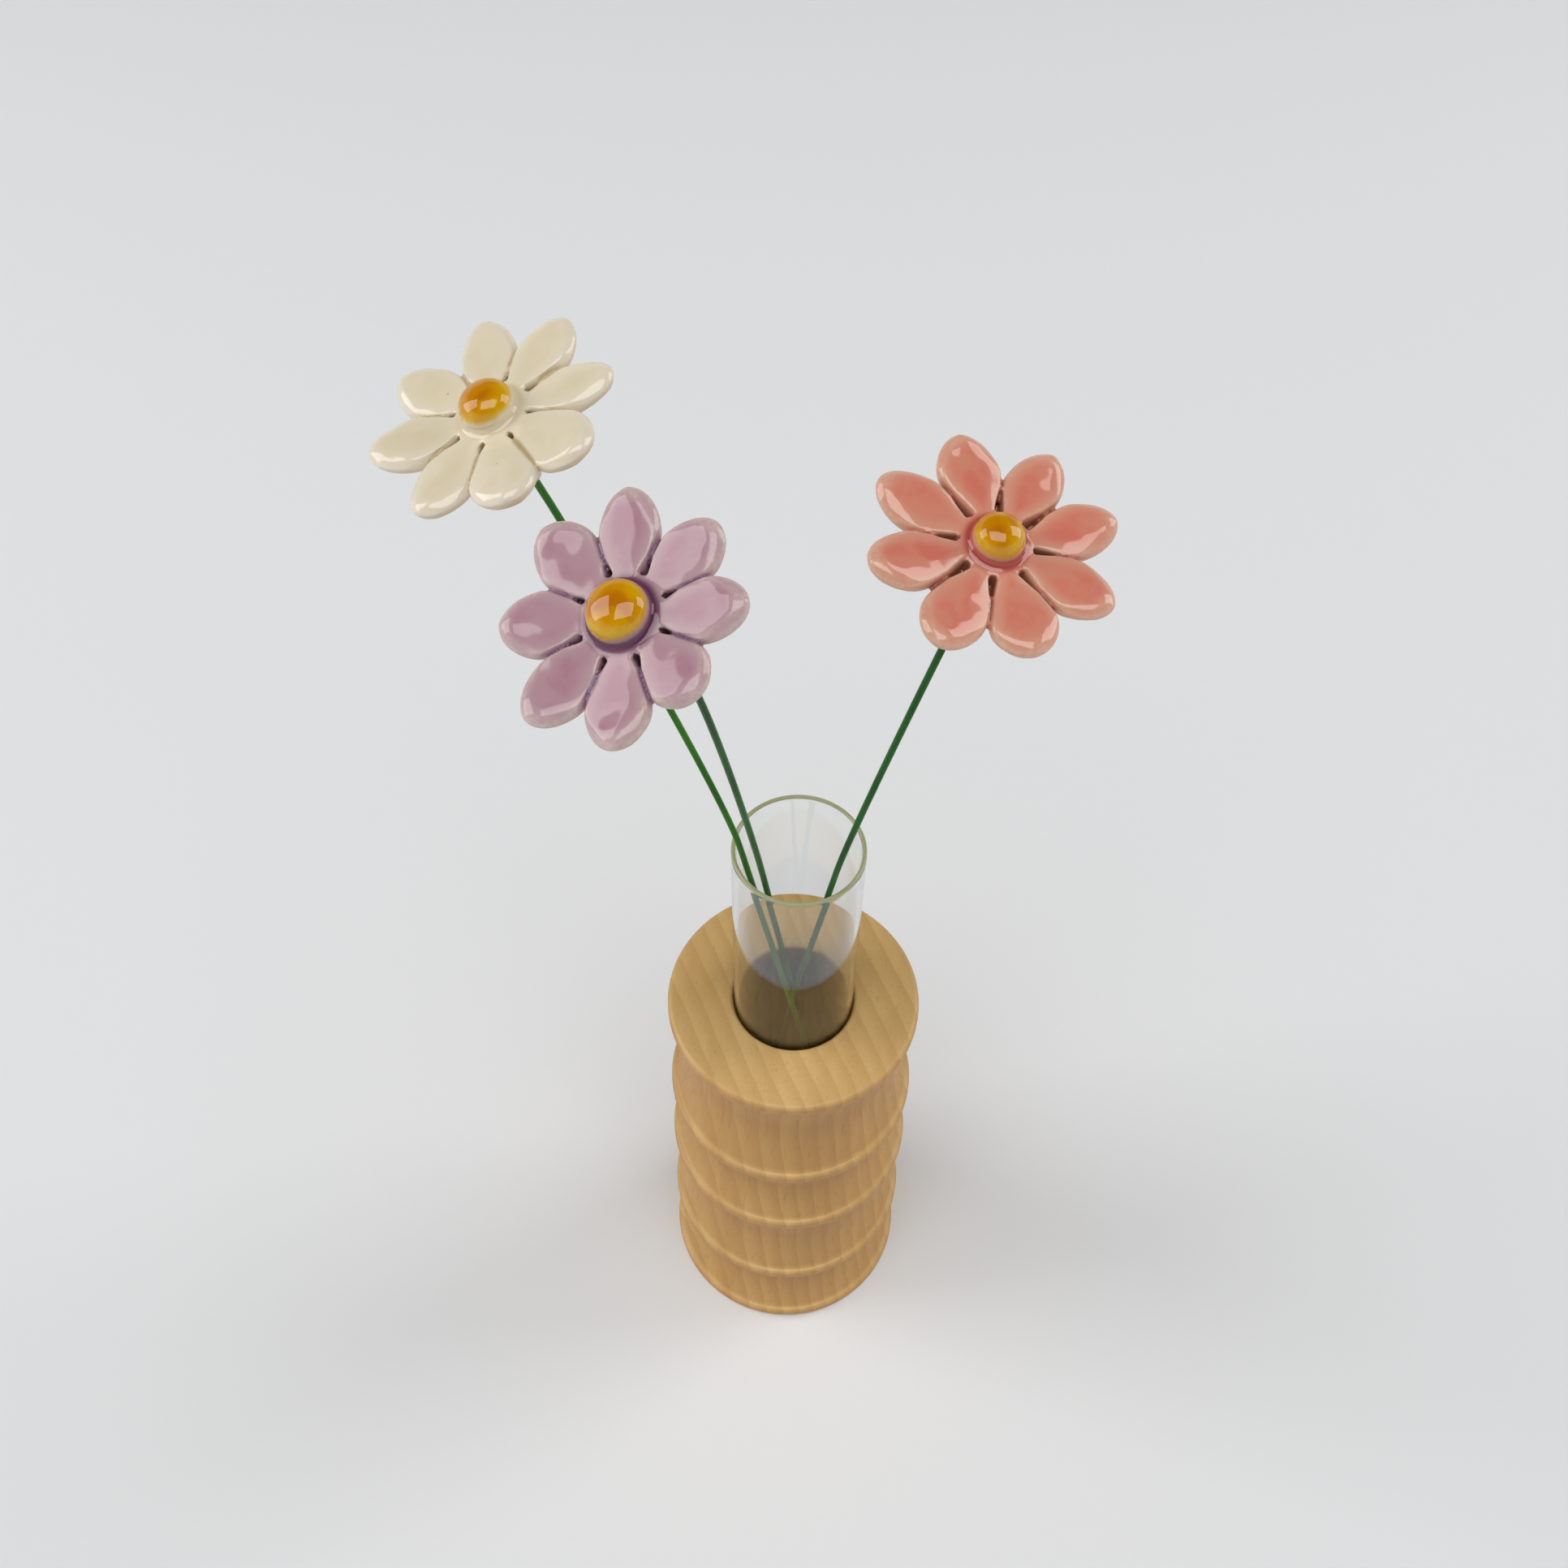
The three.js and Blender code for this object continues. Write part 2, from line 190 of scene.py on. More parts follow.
def smooth_step(tree, value, low, high, start=0.0, end=1.0):
    """Eases from start to end while value goes from low to high."""
    values = {"Value": value, "From Min": low, "From Max": high, "To Min": start, "To Max": end}
    return add_node(tree, "ShaderNodeMapRange", values, interpolation_type="SMOOTHSTEP").outputs["Result"]


def mixed(tree, factor, first, second, blend="MIX"):
    """A colour mix of first and second; 6 and 7 are the node's colour inputs, and 2 is its colour output."""
    values = {"Factor": factor, 6: first, 7: second}
    return add_node(tree, "ShaderNodeMix", values, data_type="RGBA", blend_type=blend).outputs[2]


def bumped(tree, shader, height, distance, strength):
    """Feeds a height into the shader's normal; distance is in metres."""
    bump = add_node(tree, "ShaderNodeBump", {"Height": height, "Distance": distance, "Strength": strength})
    feed(tree, shader, {"Normal": bump.outputs["Normal"]})


print("Finish helpers ready; materials so far:", len(bpy.data.materials))

# %% [markdown]
# The ornament stands on a seamless pale ground, like a sheet of studio paper. A curved backdrop would show
# its bend in side views, so the ground is one flat sheet whose alpha fades it into the room with distance.
# It lies a hair below the stand's foot, so that the two faces don't flicker.

# %% Ground
GROUND_NEAR = tone(237, 238, 239)
GROUND_FAR = tone(243, 244, 245)
GROUND_SIZE = 5.0
GROUND_DROP = 0.2 * MM
GROUND_SHADE = (-0.1, 0.9)
GROUND_FADE = (0.85, 2.0)
GROUND_ROUGHNESS = 0.85
GROUND_SPECULAR = 0.2


def ground_finish():
    material, tree, shader = new_material("pale_ground")
    spot = place_in_object(tree)
    depth = add_node(tree, "ShaderNodeSeparateXYZ", {0: spot}).outputs["Y"]
    distance = add_node(tree, "ShaderNodeVectorMath", {0: spot}, operation="LENGTH").outputs["Value"]
    colour = mixed(tree, smooth_step(tree, depth, *GROUND_SHADE), GROUND_NEAR, GROUND_FAR)
    alpha = smooth_step(tree, distance, *GROUND_FADE, 1.0, 0.0)
    feed(tree, shader, {"Base Color": colour, "Alpha": alpha, "Roughness": GROUND_ROUGHNESS,
                        "Specular IOR Level": GROUND_SPECULAR})
    return material


def ground():
    half = GROUND_SIZE / 2
    corners = ((-half, -half), (half, -half), (half, half), (-half, half))
    mesh = bpy.data.meshes.new("ground")
    mesh.from_pydata([(x, y, -GROUND_DROP) for x, y in corners], [], [(0, 1, 2, 3)])
    mesh.materials.append(ground_finish())
    placed_object("ground", mesh)


ground()
print("Ground:", GROUND_SIZE, "m square")

# %% [markdown]
# The room gives the soft fill light. One even world colour would do that too, but glaze mirrors the room
# and would look milky all over. So the room is as pale as the ground up to just above eye level, where the
# ground fades into it and no horizon shows, and dim overhead, so that the glaze keeps its colour between
# the bright patches.

# %% Room
ROOM_TINT = (0.99, 1.0, 1.01, 1)
ROOM_STRENGTH = 0.66
ZENITH_STRENGTH = 0.03
ROOM_FADE = (0.2, 0.5)


def pale_world():
    world = bpy.data.worlds.new("pale_world")
    world.use_nodes = True
    tree = world.node_tree
    tree.nodes.clear()
    direction = add_node(tree, "ShaderNodeTexCoord").outputs["Generated"]
    upward = add_node(tree, "ShaderNodeSeparateXYZ", {0: direction}).outputs["Z"]
    strength = smooth_step(tree, upward, *ROOM_FADE, ROOM_STRENGTH, ZENITH_STRENGTH)
    background = add_node(tree, "ShaderNodeBackground", {"Color": ROOM_TINT, "Strength": strength})
    add_node(tree, "ShaderNodeOutputWorld", {"Surface": background.outputs["Background"]})
    return world


bpy.context.scene.world = pale_world()
bpy.context.scene.view_settings.view_transform = "Standard"
print("Room strength:", ROOM_STRENGTH, "below,", ZENITH_STRENGTH, "above")

# %% [markdown]
# Three soft panels light the flowers, and the glaze shows them as bright patches with clear edges: one
# overhead and one on either side, so the stand throws a faint shadow to its left and right. Point lamps
# would give dots and hard shadows. A panel's power comes from its radiance and its area, so all three are
# equally bright.

# %% Light panels
AIM = Vector((0, -0.01, 0.25))
PANEL_RADIANCE = 2.85
STEEP = 0.8
PANELS = {
    "overhead_panel": {"place": (-0.08, -0.83, 2.66), "size": (2.65, 1.75)},
    "left_panel": {"place": (-1.68, 0.10, 1.16), "size": (1.1, 1.5)},
    "right_panel": {"place": (1.57, 0.55, 1.23), "size": (0.95, 1.45)},
}


def panel(name, place, size):
    """A panel that looks at the flowers, with its width level."""
    data = bpy.data.lights.new(name, "AREA")
    data.shape = "RECTANGLE"
    data.size, data.size_y = size
    data.energy = PANEL_RADIANCE * math.pi * size[0] * size[1]
    back = (Vector(place) - AIM).normalized()
    level = Vector((back.y, -back.x, 0)).normalized() if abs(back.z) < STEEP else Vector((1, 0, 0))
    level = (level - back * level.dot(back)).normalized()
    matrix = Matrix((level, back.cross(level), back)).transposed().to_4x4()
    matrix.translation = place
    light = placed_object(name, data)
    light.matrix_world = matrix
    light.visible_camera = False
    print(name, round(data.energy, 1), "W")


for panel_name, settings in PANELS.items():
    panel(panel_name, **settings)

# %% [markdown]
# Turned profiles, the ring of petals and wires along a path all follow a rule, so Geometry Nodes make
# them. A tree could stay on its piece as a live modifier, but the export drops instances, and later steps
# read the finished mesh, so the result is taken over as a plain mesh. These helpers start a tree, end it
# with real geometry and its material, put it on a piece and settle the piece. A tree reads its points from
# a chain, and numbers stored on them.

# %% Geometry Nodes helpers


def new_tree(name, sockets):
    """A geometry tree with a geometry, named inputs and a material; returns it and its input sockets."""
    tree = bpy.data.node_groups.new(name, "GeometryNodeTree")
    kinds = {"Geometry": "NodeSocketGeometry", **sockets, "Material": "NodeSocketMaterial"}
    for socket_name, kind in kinds.items():
        tree.interface.new_socket(socket_name, in_out="INPUT", socket_type=kind)
    tree.interface.new_socket("Geometry", in_out="OUTPUT", socket_type="NodeSocketGeometry")
    return tree, add_node(tree, "NodeGroupInput").outputs


def end_tree(tree, given, geometry):
    """Ends a tree with its instances made real and its material set."""
    real = add_node(tree, "GeometryNodeRealizeInstances", {"Geometry": geometry}).outputs[0]
    values = {"Geometry": real, "Material": given["Material"]}
    coloured = add_node(tree, "GeometryNodeSetMaterial", values).outputs[0]
    add_node(tree, "NodeGroupOutput", {"Geometry": coloured})
    return tree


def chain_object(name, points):
    """An object whose mesh is a chain of points, for a tree to read."""
    mesh = bpy.data.meshes.new(name)
    edges = [(i, i + 1) for i in range(len(points) - 1)]
    mesh.from_pydata([tuple(point) for point in points], edges, [])
    return placed_object(name, mesh)


def store(mesh, name, values):
    """Keeps one number for each point of a mesh, for a tree or a finish to read."""
    mesh.attributes.new(name, "FLOAT", "POINT").data.foreach_set("value", values)


def nodes_modifier(piece, tree, values):
    """Adds the tree to the piece, with each input set by its socket's identifier."""
    modifier = piece.modifiers.new(tree.name, "NODES")
    modifier.node_group = tree
    inputs = [item for item in tree.interface.items_tree if item.in_out == "INPUT"]
    identifiers = {item.name: item.identifier for item in inputs}
    for name, value in values.items():
        modifier[identifiers[name]] = value


def settle(piece, material):
    """Replaces the piece's mesh by its evaluated one, smooth and without modifiers."""
    bpy.context.view_layer.update()
    graph = bpy.context.evaluated_depsgraph_get()
    mesh = bpy.data.meshes.new_from_object(piece.evaluated_get(graph), depsgraph=graph)
    piece.modifiers.clear()
    piece.data = mesh
    mesh.name = piece.name
    mesh.materials.clear()
    mesh.materials.append(material)
    mesh.polygons.foreach_set("use_smooth", [True] * len(mesh.polygons))
    return piece


# %% [markdown]
# The stand, the tube, the hubs, the sockets, the glue and the centre buttons are all round about an axis.
# Spin or Screw could turn each by itself. One tree does it for all: a chain of points gives the profile, a
# grid gets one column for each side and one row for each point, and every row takes its radius and height
# from its point. Merging by distance closes the seam and the poles, so only profiles are left to write.

# %% Geometry Nodes: turn a profile about the Z axis
MERGE_DISTANCE = 1e-6


def turning_tree():
    tree, given = new_tree("turn_profile", {"Sides": "NodeSocketInt"})
    chain, sides = given["Geometry"], given["Sides"]
    size = add_node(tree, "GeometryNodeAttributeDomainSize", {"Geometry": chain}, component="MESH")
    count = size.outputs["Point Count"]
    columns = maths(tree, "ADD", sides, 1)
    grid = add_node(tree, "GeometryNodeMeshGrid", {"Vertices X": columns, "Vertices Y": count})
    index = add_node(tree, "GeometryNodeInputIndex").outputs[0]
    row = maths(tree, "FLOORED_MODULO", index, count)
    column = maths(tree, "FLOOR", maths(tree, "DIVIDE", index, count))
    angle = maths(tree, "MULTIPLY", maths(tree, "DIVIDE", column, sides), 2 * math.pi)
    position = add_node(tree, "GeometryNodeInputPosition").outputs[0]
    values = {"Geometry": chain, "Value": position, "Index": row}
    point = add_node(tree, "GeometryNodeSampleIndex", values, data_type="FLOAT_VECTOR").outputs["Value"]
    parts = add_node(tree, "ShaderNodeSeparateXYZ", {0: point}).outputs
    x, y = (maths(tree, "MULTIPLY", parts["X"], maths(tree, way, angle)) for way in ("COSINE", "SINE"))
    place = add_node(tree, "ShaderNodeCombineXYZ", {"X": x, "Y": y, "Z": parts["Z"]}).outputs[0]
    values = {"Geometry": grid.outputs["Mesh"], "Position": place}
    turned = add_node(tree, "GeometryNodeSetPosition", values).outputs[0]
    values = {"Geometry": turned, "Distance": MERGE_DISTANCE}
    closed = add_node(tree, "GeometryNodeMergeByDistance", values).outputs[0]
    return end_tree(tree, given, closed)


TURNING = turning_tree()


def turned_piece(name, profile, sides, material):
    """A turned piece from (radius, height) pairs in millimetres, listed with the solid on their left."""
    piece = chain_object(name, [(radius * MM, 0, height * MM) for radius, height in profile])
    nodes_modifier(piece, TURNING, {"Sides": sides, "Material": material})
    return settle(piece, material)


def arc(radius, height, size, start, end, steps):
    """Points of an arc about (radius, height), from angle start to end in degrees, both included."""
    angles = np.radians(np.linspace(start, end, steps + 1))
    return [(radius + size * math.cos(a), height + size * math.sin(a)) for a in angles]


print("Turning tree:", len(TURNING.nodes), "nodes")

# %% [markdown]
# The stand is pale wood with straight grain, rubbed to a low sheen. A picture of wood wrapped round it
# would show a seam, so the grain is solid: the block was cut far from the tree's heart, where growth
# layers are flat, and one set of bands across it gives slanting stripes on the top and upright ones round
# the sides. Fine fibres run up the block and show as streaks on the sides and as dots on the end grain. At
# a scale of one the Wave texture repeats every WAVE_PERIOD, so the layers' spacing sets its scale.
#
# In this and the later finishes a GRAIN value holds a noise's cycles in a metre across, along and up, then
# its detail and roughness. A NOISE value holds one scale for all directions, then the same. A MIX value
# holds the range over which a tone sets in and its least and greatest share, a ROUGHNESS value of four
# numbers does the same for the gloss, and a BUMP value holds a depth and a strength.

# %% Wood finish
WOOD_LIGHT = tone(219, 182, 119)
WOOD_DEEP = tone(196, 151, 88)
WOOD_SHADE = tone(164, 120, 66)
# Steep faces take this deeper tone: partly the side grain's colour and partly painted shade.
SIDE_TONE_AND_SHADE = tone(223, 200, 160)
GRAIN_TURN = (0, 0, math.radians(-23.3))
LAYER_SPACING = 3.7 * MM
WAVE_PERIOD = 2 * math.pi / 20
LAYER_SWAY = {"Distortion": 2.6, "Detail": 2.0, "Detail Scale": 0.35}
LAYER_MIX = (0.1, 1.0, 0.0, 0.5)
BROAD_GRAIN = ((160, 34, 9), 3.0)
BROAD_MIX = (0.35, 0.75, 0.0, 0.5)
FIBRE_GRAIN = ((1500, 1100, 26), 3.0, 0.6)
FIBRE_MIX = (0.52, 0.8, 0.0, 0.3)
FIBRE_ROUGHNESS = (0.2, 0.9, 0.35, 0.52)
FIBRE_BUMP = (0.04 * MM, 0.5)
FLECK_GRAIN = ((900, 420, 60), 1.0)
FLECK_MIX = (0.68, 0.78, 0.0, 0.2)


def grain(tree, cycles, *character, turn=(0, 0, 0)):
    """A noise stretched along the grain."""
    return noise(tree, place_in_object(tree, turn, cycles), 1.0, *character)


def wood_finish():
    material, tree, shader = new_material("turned_wood")
    across = place_in_object(tree, GRAIN_TURN)
    values = {"Vector": across, "Scale": WAVE_PERIOD / LAYER_SPACING, **LAYER_SWAY}
    layers = add_node(tree, "ShaderNodeTexWave", values, wave_profile="SAW").outputs["Fac"]
    broad = grain(tree, *BROAD_GRAIN, turn=GRAIN_TURN)
    fibres = grain(tree, *FIBRE_GRAIN, turn=GRAIN_TURN)
    flecks = grain(tree, *FLECK_GRAIN, turn=GRAIN_TURN)
    colour = mixed(tree, smooth_step(tree, layers, *LAYER_MIX), WOOD_LIGHT, WOOD_DEEP)
    colour = mixed(tree, smooth_step(tree, broad, *BROAD_MIX), colour, WOOD_DEEP)
    colour = mixed(tree, smooth_step(tree, fibres, *FIBRE_MIX), colour, WOOD_SHADE)
    colour = mixed(tree, smooth_step(tree, flecks, *FLECK_MIX), colour, WOOD_SHADE)
    # The sides are multiplied by a deeper tone, partly side grain and partly painted shade.
    colour = mixed(tree, attribute(tree, "side"), colour, SIDE_TONE_AND_SHADE, "MULTIPLY")
    feed(tree, shader, {"Base Color": colour, "Roughness": smooth_step(tree, fibres, *FIBRE_ROUGHNESS)})
    bumped(tree, shader, fibres, *FIBRE_BUMP)
    return material


WOOD = wood_finish()
print("Wood:", len(WOOD.node_tree.nodes), "nodes")

# %% [markdown]
# The stand is one block turned on a lathe: five ribs with coves between them, a flat top and a blind bore
# for the tube. Loop cuts could shape it, but a turned piece is its profile, so that is written down: from
# the foot's middle out to the lowest rib, up over ribs and coves, across the top and down the bore. Ribs
# have rounded corners, and coves are half sine waves, as a gouge leaves them. The height and the radii of
# the foot and the tube come from the frame, and the rib places are the solid's own. The sides are deeper
# in tone than the top, partly as side grain and partly as painted shade, so an attribute tells the finish
# how steep the surface is.

# %% Stand
RIB_BAND = 3.2
RIB_FILLET = 1.2
FILLET_STEPS = 6
COVE_SPANS = [22.2, 26.4, 21.4, 29]
COVE_DEPTH = 4.2
COVE_STEPS = 26
STAND_TOP_RADIUS = 26.4
BORE_CLEARANCE = 0.2
BORE_DEPTH = 47
BORE_CHAMFER = 0.8
STAND_SIDES = 144

stand_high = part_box("stand")[1]
tube_low, tube_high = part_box("tube")
STAND_BASE_RADIUS = stand_high.x / MM
STAND_HEIGHT = stand_high.z / MM
TUBE_RADIUS = tube_high.x / MM
TUBE_FOOT = tube_low.z / MM
TUBE_RIM = tube_high.z / MM


def cove(inner, taper, level, span):
    along = np.arange(1, COVE_STEPS) / COVE_STEPS
    depth = (COVE_DEPTH - RIB_FILLET) * np.sin(math.pi * along)
    return list(zip(inner + taper * along - depth, level + span * along))


def stand_profile():
    taper = (STAND_TOP_RADIUS - STAND_BASE_RADIUS) / len(COVE_SPANS)
    profile = [(0, 0)]
    level = 0
    for rib in range(len(COVE_SPANS) + 1):
        inner = STAND_BASE_RADIUS + taper * rib - RIB_FILLET
        profile += arc(inner, level + RIB_FILLET, RIB_FILLET, -90, 0, FILLET_STEPS)
        level += RIB_BAND
        profile += arc(inner, level - RIB_FILLET, RIB_FILLET, 0, 90, FILLET_STEPS)
        if rib < len(COVE_SPANS):
            profile += cove(inner, taper, level, COVE_SPANS[rib])
            level += COVE_SPANS[rib]
    bore = TUBE_RADIUS + BORE_CLEARANCE
    floor = STAND_HEIGHT - BORE_DEPTH
    profile += arc(bore + BORE_CHAMFER, STAND_HEIGHT - BORE_CHAMFER, BORE_CHAMFER, 90, 180, FILLET_STEPS)
    return profile + [(bore, floor + BORE_CHAMFER), (bore - BORE_CHAMFER, floor), (0, floor)]


stand = turned_piece("turned_stand", stand_profile(), STAND_SIDES, WOOD)
store(stand.data, "side", [1 - abs(vertex.normal.z) for vertex in stand.data.vertices])
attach(stand, "stand")
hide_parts("stand")
print("Stand:", len(stand.data.polygons), "faces")

# %% [markdown]
# The tube is clear glass with a round bottom. A single sheet of faces would not bend light as glass does,
# so it has an outer and an inner surface. The visible wall is thinner than the solid's, because the
# photograph shows a slim rim. The rim was melted smooth in a flame, and there the eye looks along the
# glass instead of through it, which brings out its green, so the rim has a deeper finish of its own.

# %% Glass tube
GLASS_WALL = 0.85
RIM_DEPTH = 0.9
RIM_STEPS = 12
BOTTOM_STEPS = 28
TUBE_SIDES = 128
GLASS_IOR = 1.48
GLASS_TONE = (0.975, 0.99, 0.98, 1)
RIM_TONE = tone(206, 210, 160)
RIM_TRANSMISSION = 0.35
RIM_ROUGHNESS = 0.03
WEAR_NOISE = (900, 2.0)
WEAR_RANGE = (0.55, 0.9)
WEAR_ROUGHNESS = 0.02


def glass_finish(name, colour, transmission, roughness):
    material, tree, shader = new_material(name)
    wear = noise(tree, place_in_object(tree), *WEAR_NOISE)
    worn = smooth_step(tree, wear, *WEAR_RANGE, roughness, roughness + WEAR_ROUGHNESS)
    feed(tree, shader, {"Base Color": colour, "Roughness": worn, "IOR": GLASS_IOR,
                        "Transmission Weight": transmission})
    return material


def tube_profile():
    inner = TUBE_RADIUS - GLASS_WALL
    centre = TUBE_FOOT + TUBE_RADIUS
    half = GLASS_WALL / 2
    rim = TUBE_RIM - half
    return [(0, TUBE_FOOT), *arc(0, centre, TUBE_RADIUS, -90, 0, BOTTOM_STEPS)[1:],
            (TUBE_RADIUS, rim - RIM_DEPTH), *arc(TUBE_RADIUS - half, rim, half, 0, 180, RIM_STEPS),
            (inner, rim - RIM_DEPTH), *arc(0, centre, inner, 0, -90, BOTTOM_STEPS)[:-1], (0, centre - inner)]


CLEAR_GLASS = glass_finish("clear_glass", GLASS_TONE, 1.0, 0.0)
RIM_GLASS = glass_finish("rim_glass", RIM_TONE, RIM_TRANSMISSION, RIM_ROUGHNESS)
tube = turned_piece("glass_tube", tube_profile(), TUBE_SIDES, CLEAR_GLASS)
tube.data.materials.append(RIM_GLASS)
for face in tube.data.polygons:
    if face.center.z > (TUBE_RIM - GLASS_WALL / 2) * MM:
        face.material_index = 1
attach(tube, "tube")
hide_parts("tube")
print("Tube:", len(tube.data.polygons), "faces")

# %% [markdown]
# Each daisy has its own glaze, size, lean and petals. Three models could be made one after another, but
# they differ only in numbers, so one recipe is written and these values tell one daisy from another.
# Places are in millimetres, with a head's height taken from the tube's rim, as in the solid model. Each
# list holds one number for each petal, clockwise: turns, twists and tilts in degrees, the rest in
# millimetres.

# %% The three daisies
DAISIES = {
    "white": {
        "head": (-42.75, 0.8, 96.6), "facing": (-0.301, -0.116, 0.946), "spin": -9.5, "reach": 17.8,
        "cupping": 2.5, "dome": 3.9, "rim_angle": 204, "foot_angle": 325.5, "foot_inset": 0.75,
        "slot": 0.25, "slot_length": 1.9, "join": 0.7,
        "turns": [1.5, 3, 3.5, 3, -3.5, -6.5, -2, -1],
        "growths": [-0.4, -0.7, -0.2, 0.7, 0.8, 0.3, 0, -0.3],
        "spreads": [-0.8, 0.2, -0.6, 1.4, 1.2, 0.2, 0, -0.4],
        "twists": [1, -3, -4, 2, -1, 2, 2, -2],
        "tilts": [0, 1, -1, 0, 1, -1, 0, -1],
        "droops": [0.2, 0, 0.2, 0.3, 0.2, 0.4, 0.1, 0],
    },
    "lilac": {
        "head": (-23, -30.6, 91.6), "facing": (-0.327, -0.345, 0.88), "spin": 8.6, "reach": 17.2,
        "cupping": 2.5, "dome": 4.2, "rim_angle": 236, "foot_angle": 60.6, "foot_inset": 1.25,
        "slot": 0.3, "slot_length": 1.8, "join": 0.6,
        "turns": [0.5, 2.5, -0.5, 2, -1.5, -4, -1, 2],
        "growths": [-0.1, -0.7, -0.3, -1.5, 0.4, 0.5, -0.4, 0],
        "spreads": [-0.2, 0.2, -0.2, 1.6, 0.6, 0, 0.6, 0.6],
        "twists": [-2, 3, 2, -3, 2, -2, 2, -2],
        "tilts": [1, -1, 0, 0, -1, 0, 0, 0],
        "droops": [0, 0, 0.4, 0.6, 0.3, 0, 0.1, 0],
    },
    "coral": {
        "head": (23.7, -14.7, 89.8), "facing": (0.145, -0.234, 0.961), "spin": -19.3, "reach": 17.6,
        "cupping": 3.0, "dome": 3.5, "rim_angle": 303.5, "foot_angle": 140.7, "foot_inset": 3.3,
        "slot": 0.6, "slot_length": 3.0, "join": 0.5,
        "turns": [-0.5, 3, 0, 1, 1, 0, -3, -1],
        "growths": [-1, -1.2, -0.25, -0.1, -0.6, 0.8, 0.8, 0.1],
        "spreads": [0.4, -0.8, -0.6, 0, 1.6, 0, 0, -0.6],
        "twists": [2, -2, 3, -3, 2, -2, 4, -3],
        "tilts": [0, 0, -1, 0, 0, -1, 0, -1],
        "droops": [0, 0, 0.3, 0.9, 0.9, 0.5, 0, 0.6],
    },
}


def head_matrix(daisy):
    """The head's place: its +Z is the way it faces, and its +Y points away from the camera."""
    facing = Vector(daisy["facing"]).normalized()
    away = (Vector((0, 1, 0)) - facing * facing.y).normalized()
    side = away.cross(facing)
    matrix = Matrix((side, away, facing)).transposed().to_4x4()
    x, y, above_rim = daisy["head"]
    matrix.translation = Vector((x, y, TUBE_RIM + above_rim)) * MM
    return matrix


def seat_on_head(piece, daisy):
    """Moves a mesh made about the head's own axes to its place, in the mesh itself."""
    piece.data.transform(head_matrix(daisy))
    piece.data.update()
    return piece


for daisy_name, daisy_values in DAISIES.items():
    print(daisy_name, "head at", [round(value, 4) for value in head_matrix(daisy_values).translation])

# %% [markdown]
# Seen from the front, a petal is a tongue of clay. Near the hub its sides leave room for the slots,
# further out they run into the next petal and leave only a groove, and the tip is round. One drawn
# outline, copied eight times, would look stamped, and every petal was cut by hand. So the outline is a
# formula, and each petal feeds it its own turn, length and width.

# %% Petal outlines
PETAL_COUNT = 8
PETAL_PITCH = 360 / PETAL_COUNT
PETAL_WIDTH = 10.0
PETAL_SHOULDER = 8
TIP_POWER = 2.0
CORNER_EASE = 1.0
BOSS_MARGIN = 0.3
HUB_MARGIN = 1.4


def eased(values, low, high):
    share = np.clip((values - low) / (high - low), 0, 1)
    return share * share * (3 - 2 * share)


def hub_radius(daisy):
    return daisy["dome"] + BOSS_MARGIN + HUB_MARGIN


def petal_reach(daisy, k):
    return daisy["reach"] + daisy["growths"][k]


def cup(daisy, radius):
    """How far the cupped head rises at a radius."""
    return daisy["cupping"] * (radius / daisy["reach"]) ** 2


def half_angles(daisy, k):
    """Petal k's sector to its left and to its right, in radians, halfway to its neighbours."""
    turns = daisy["turns"]
    left = (PETAL_PITCH + turns[k] - turns[k - 1]) / 2
    right = (PETAL_PITCH + turns[(k + 1) % PETAL_COUNT] - turns[k]) / 2
    return math.radians(left), math.radians(right)


def petal_limits(radius, side, daisy, k):
    """Petal k's half width at a radius as its sector and its tip allow; side is negative to the left."""
    left, right = half_angles(daisy, k)
    along = np.clip((radius - hub_radius(daisy)) / daisy["slot_length"], 0, 1)
    opening = daisy["slot"] * (1 - along ** 2) - daisy["join"] * along
    sector = radius * np.where(side < 0, math.tan(left), math.tan(right)) - opening / 2
    past = np.clip((radius - petal_reach(daisy, k) + PETAL_SHOULDER) / PETAL_SHOULDER, 0, 1)
    tip = (PETAL_WIDTH + daisy["spreads"][k]) / 2 * np.sqrt(1 - past ** TIP_POWER)
    return sector, tip


def half_width(radius, side, daisy, k):
    """The smaller of the two limits, with the corner between them eased."""
    sector, tip = petal_limits(radius, side, daisy, k)
    return np.maximum((sector + tip - np.sqrt((sector - tip) ** 2 + CORNER_EASE ** 2)) / 2, 0)


for daisy_name, daisy_values in DAISIES.items():
    print(daisy_name, "petals reach", [round(petal_reach(daisy_values, k), 2) for k in range(PETAL_COUNT)])

# %% [markdown]
# In section a petal is a flat pillow with soft edges, and it thins towards its tip. Sculpting would shape
# it, but a formula keeps every size in reach. The edge is tight where the next petal is close and rounder
# where the petal stands free. The head is cupped, and some petals droop a little, so both go into the
# heights. Shares of the half width say where the points lie, closest together near the edges.

# %% Petal sections
PETAL_CROWN = 1.9
PETAL_UNDERSIDE = 1.5
PETAL_DOME = 1.0
TIP_THINNING = 0.45
TIP_ROUNDING = 2.6
BACK_ROUNDING = 1.2
GROOVE_EDGE = 0.5
FREE_EDGE = 1.9
FREE_SPAN = (-0.4, 2.6)
BACK_EDGE = 1.8
LEAST_WIDTH = 0.02
TOP_STEPS = 80
BACK_STEPS = 32
TOP_SHARES = -np.sin(np.linspace(-math.pi / 2, math.pi / 2, TOP_STEPS + 1))
BACK_SHARES = np.sin(np.linspace(-math.pi / 2, math.pi / 2, BACK_STEPS + 1))[1:-1]
SHARES = np.concatenate([TOP_SHARES, BACK_SHARES])
UPPER = np.arange(len(SHARES)) < len(TOP_SHARES)


def fall_off(radius, reach, rounding):
    """How much of a petal's thickness is left at a radius, where its tip is rounded."""
    past = max(0, (radius - reach + rounding) / rounding)
    return math.sqrt(1 - past * past)


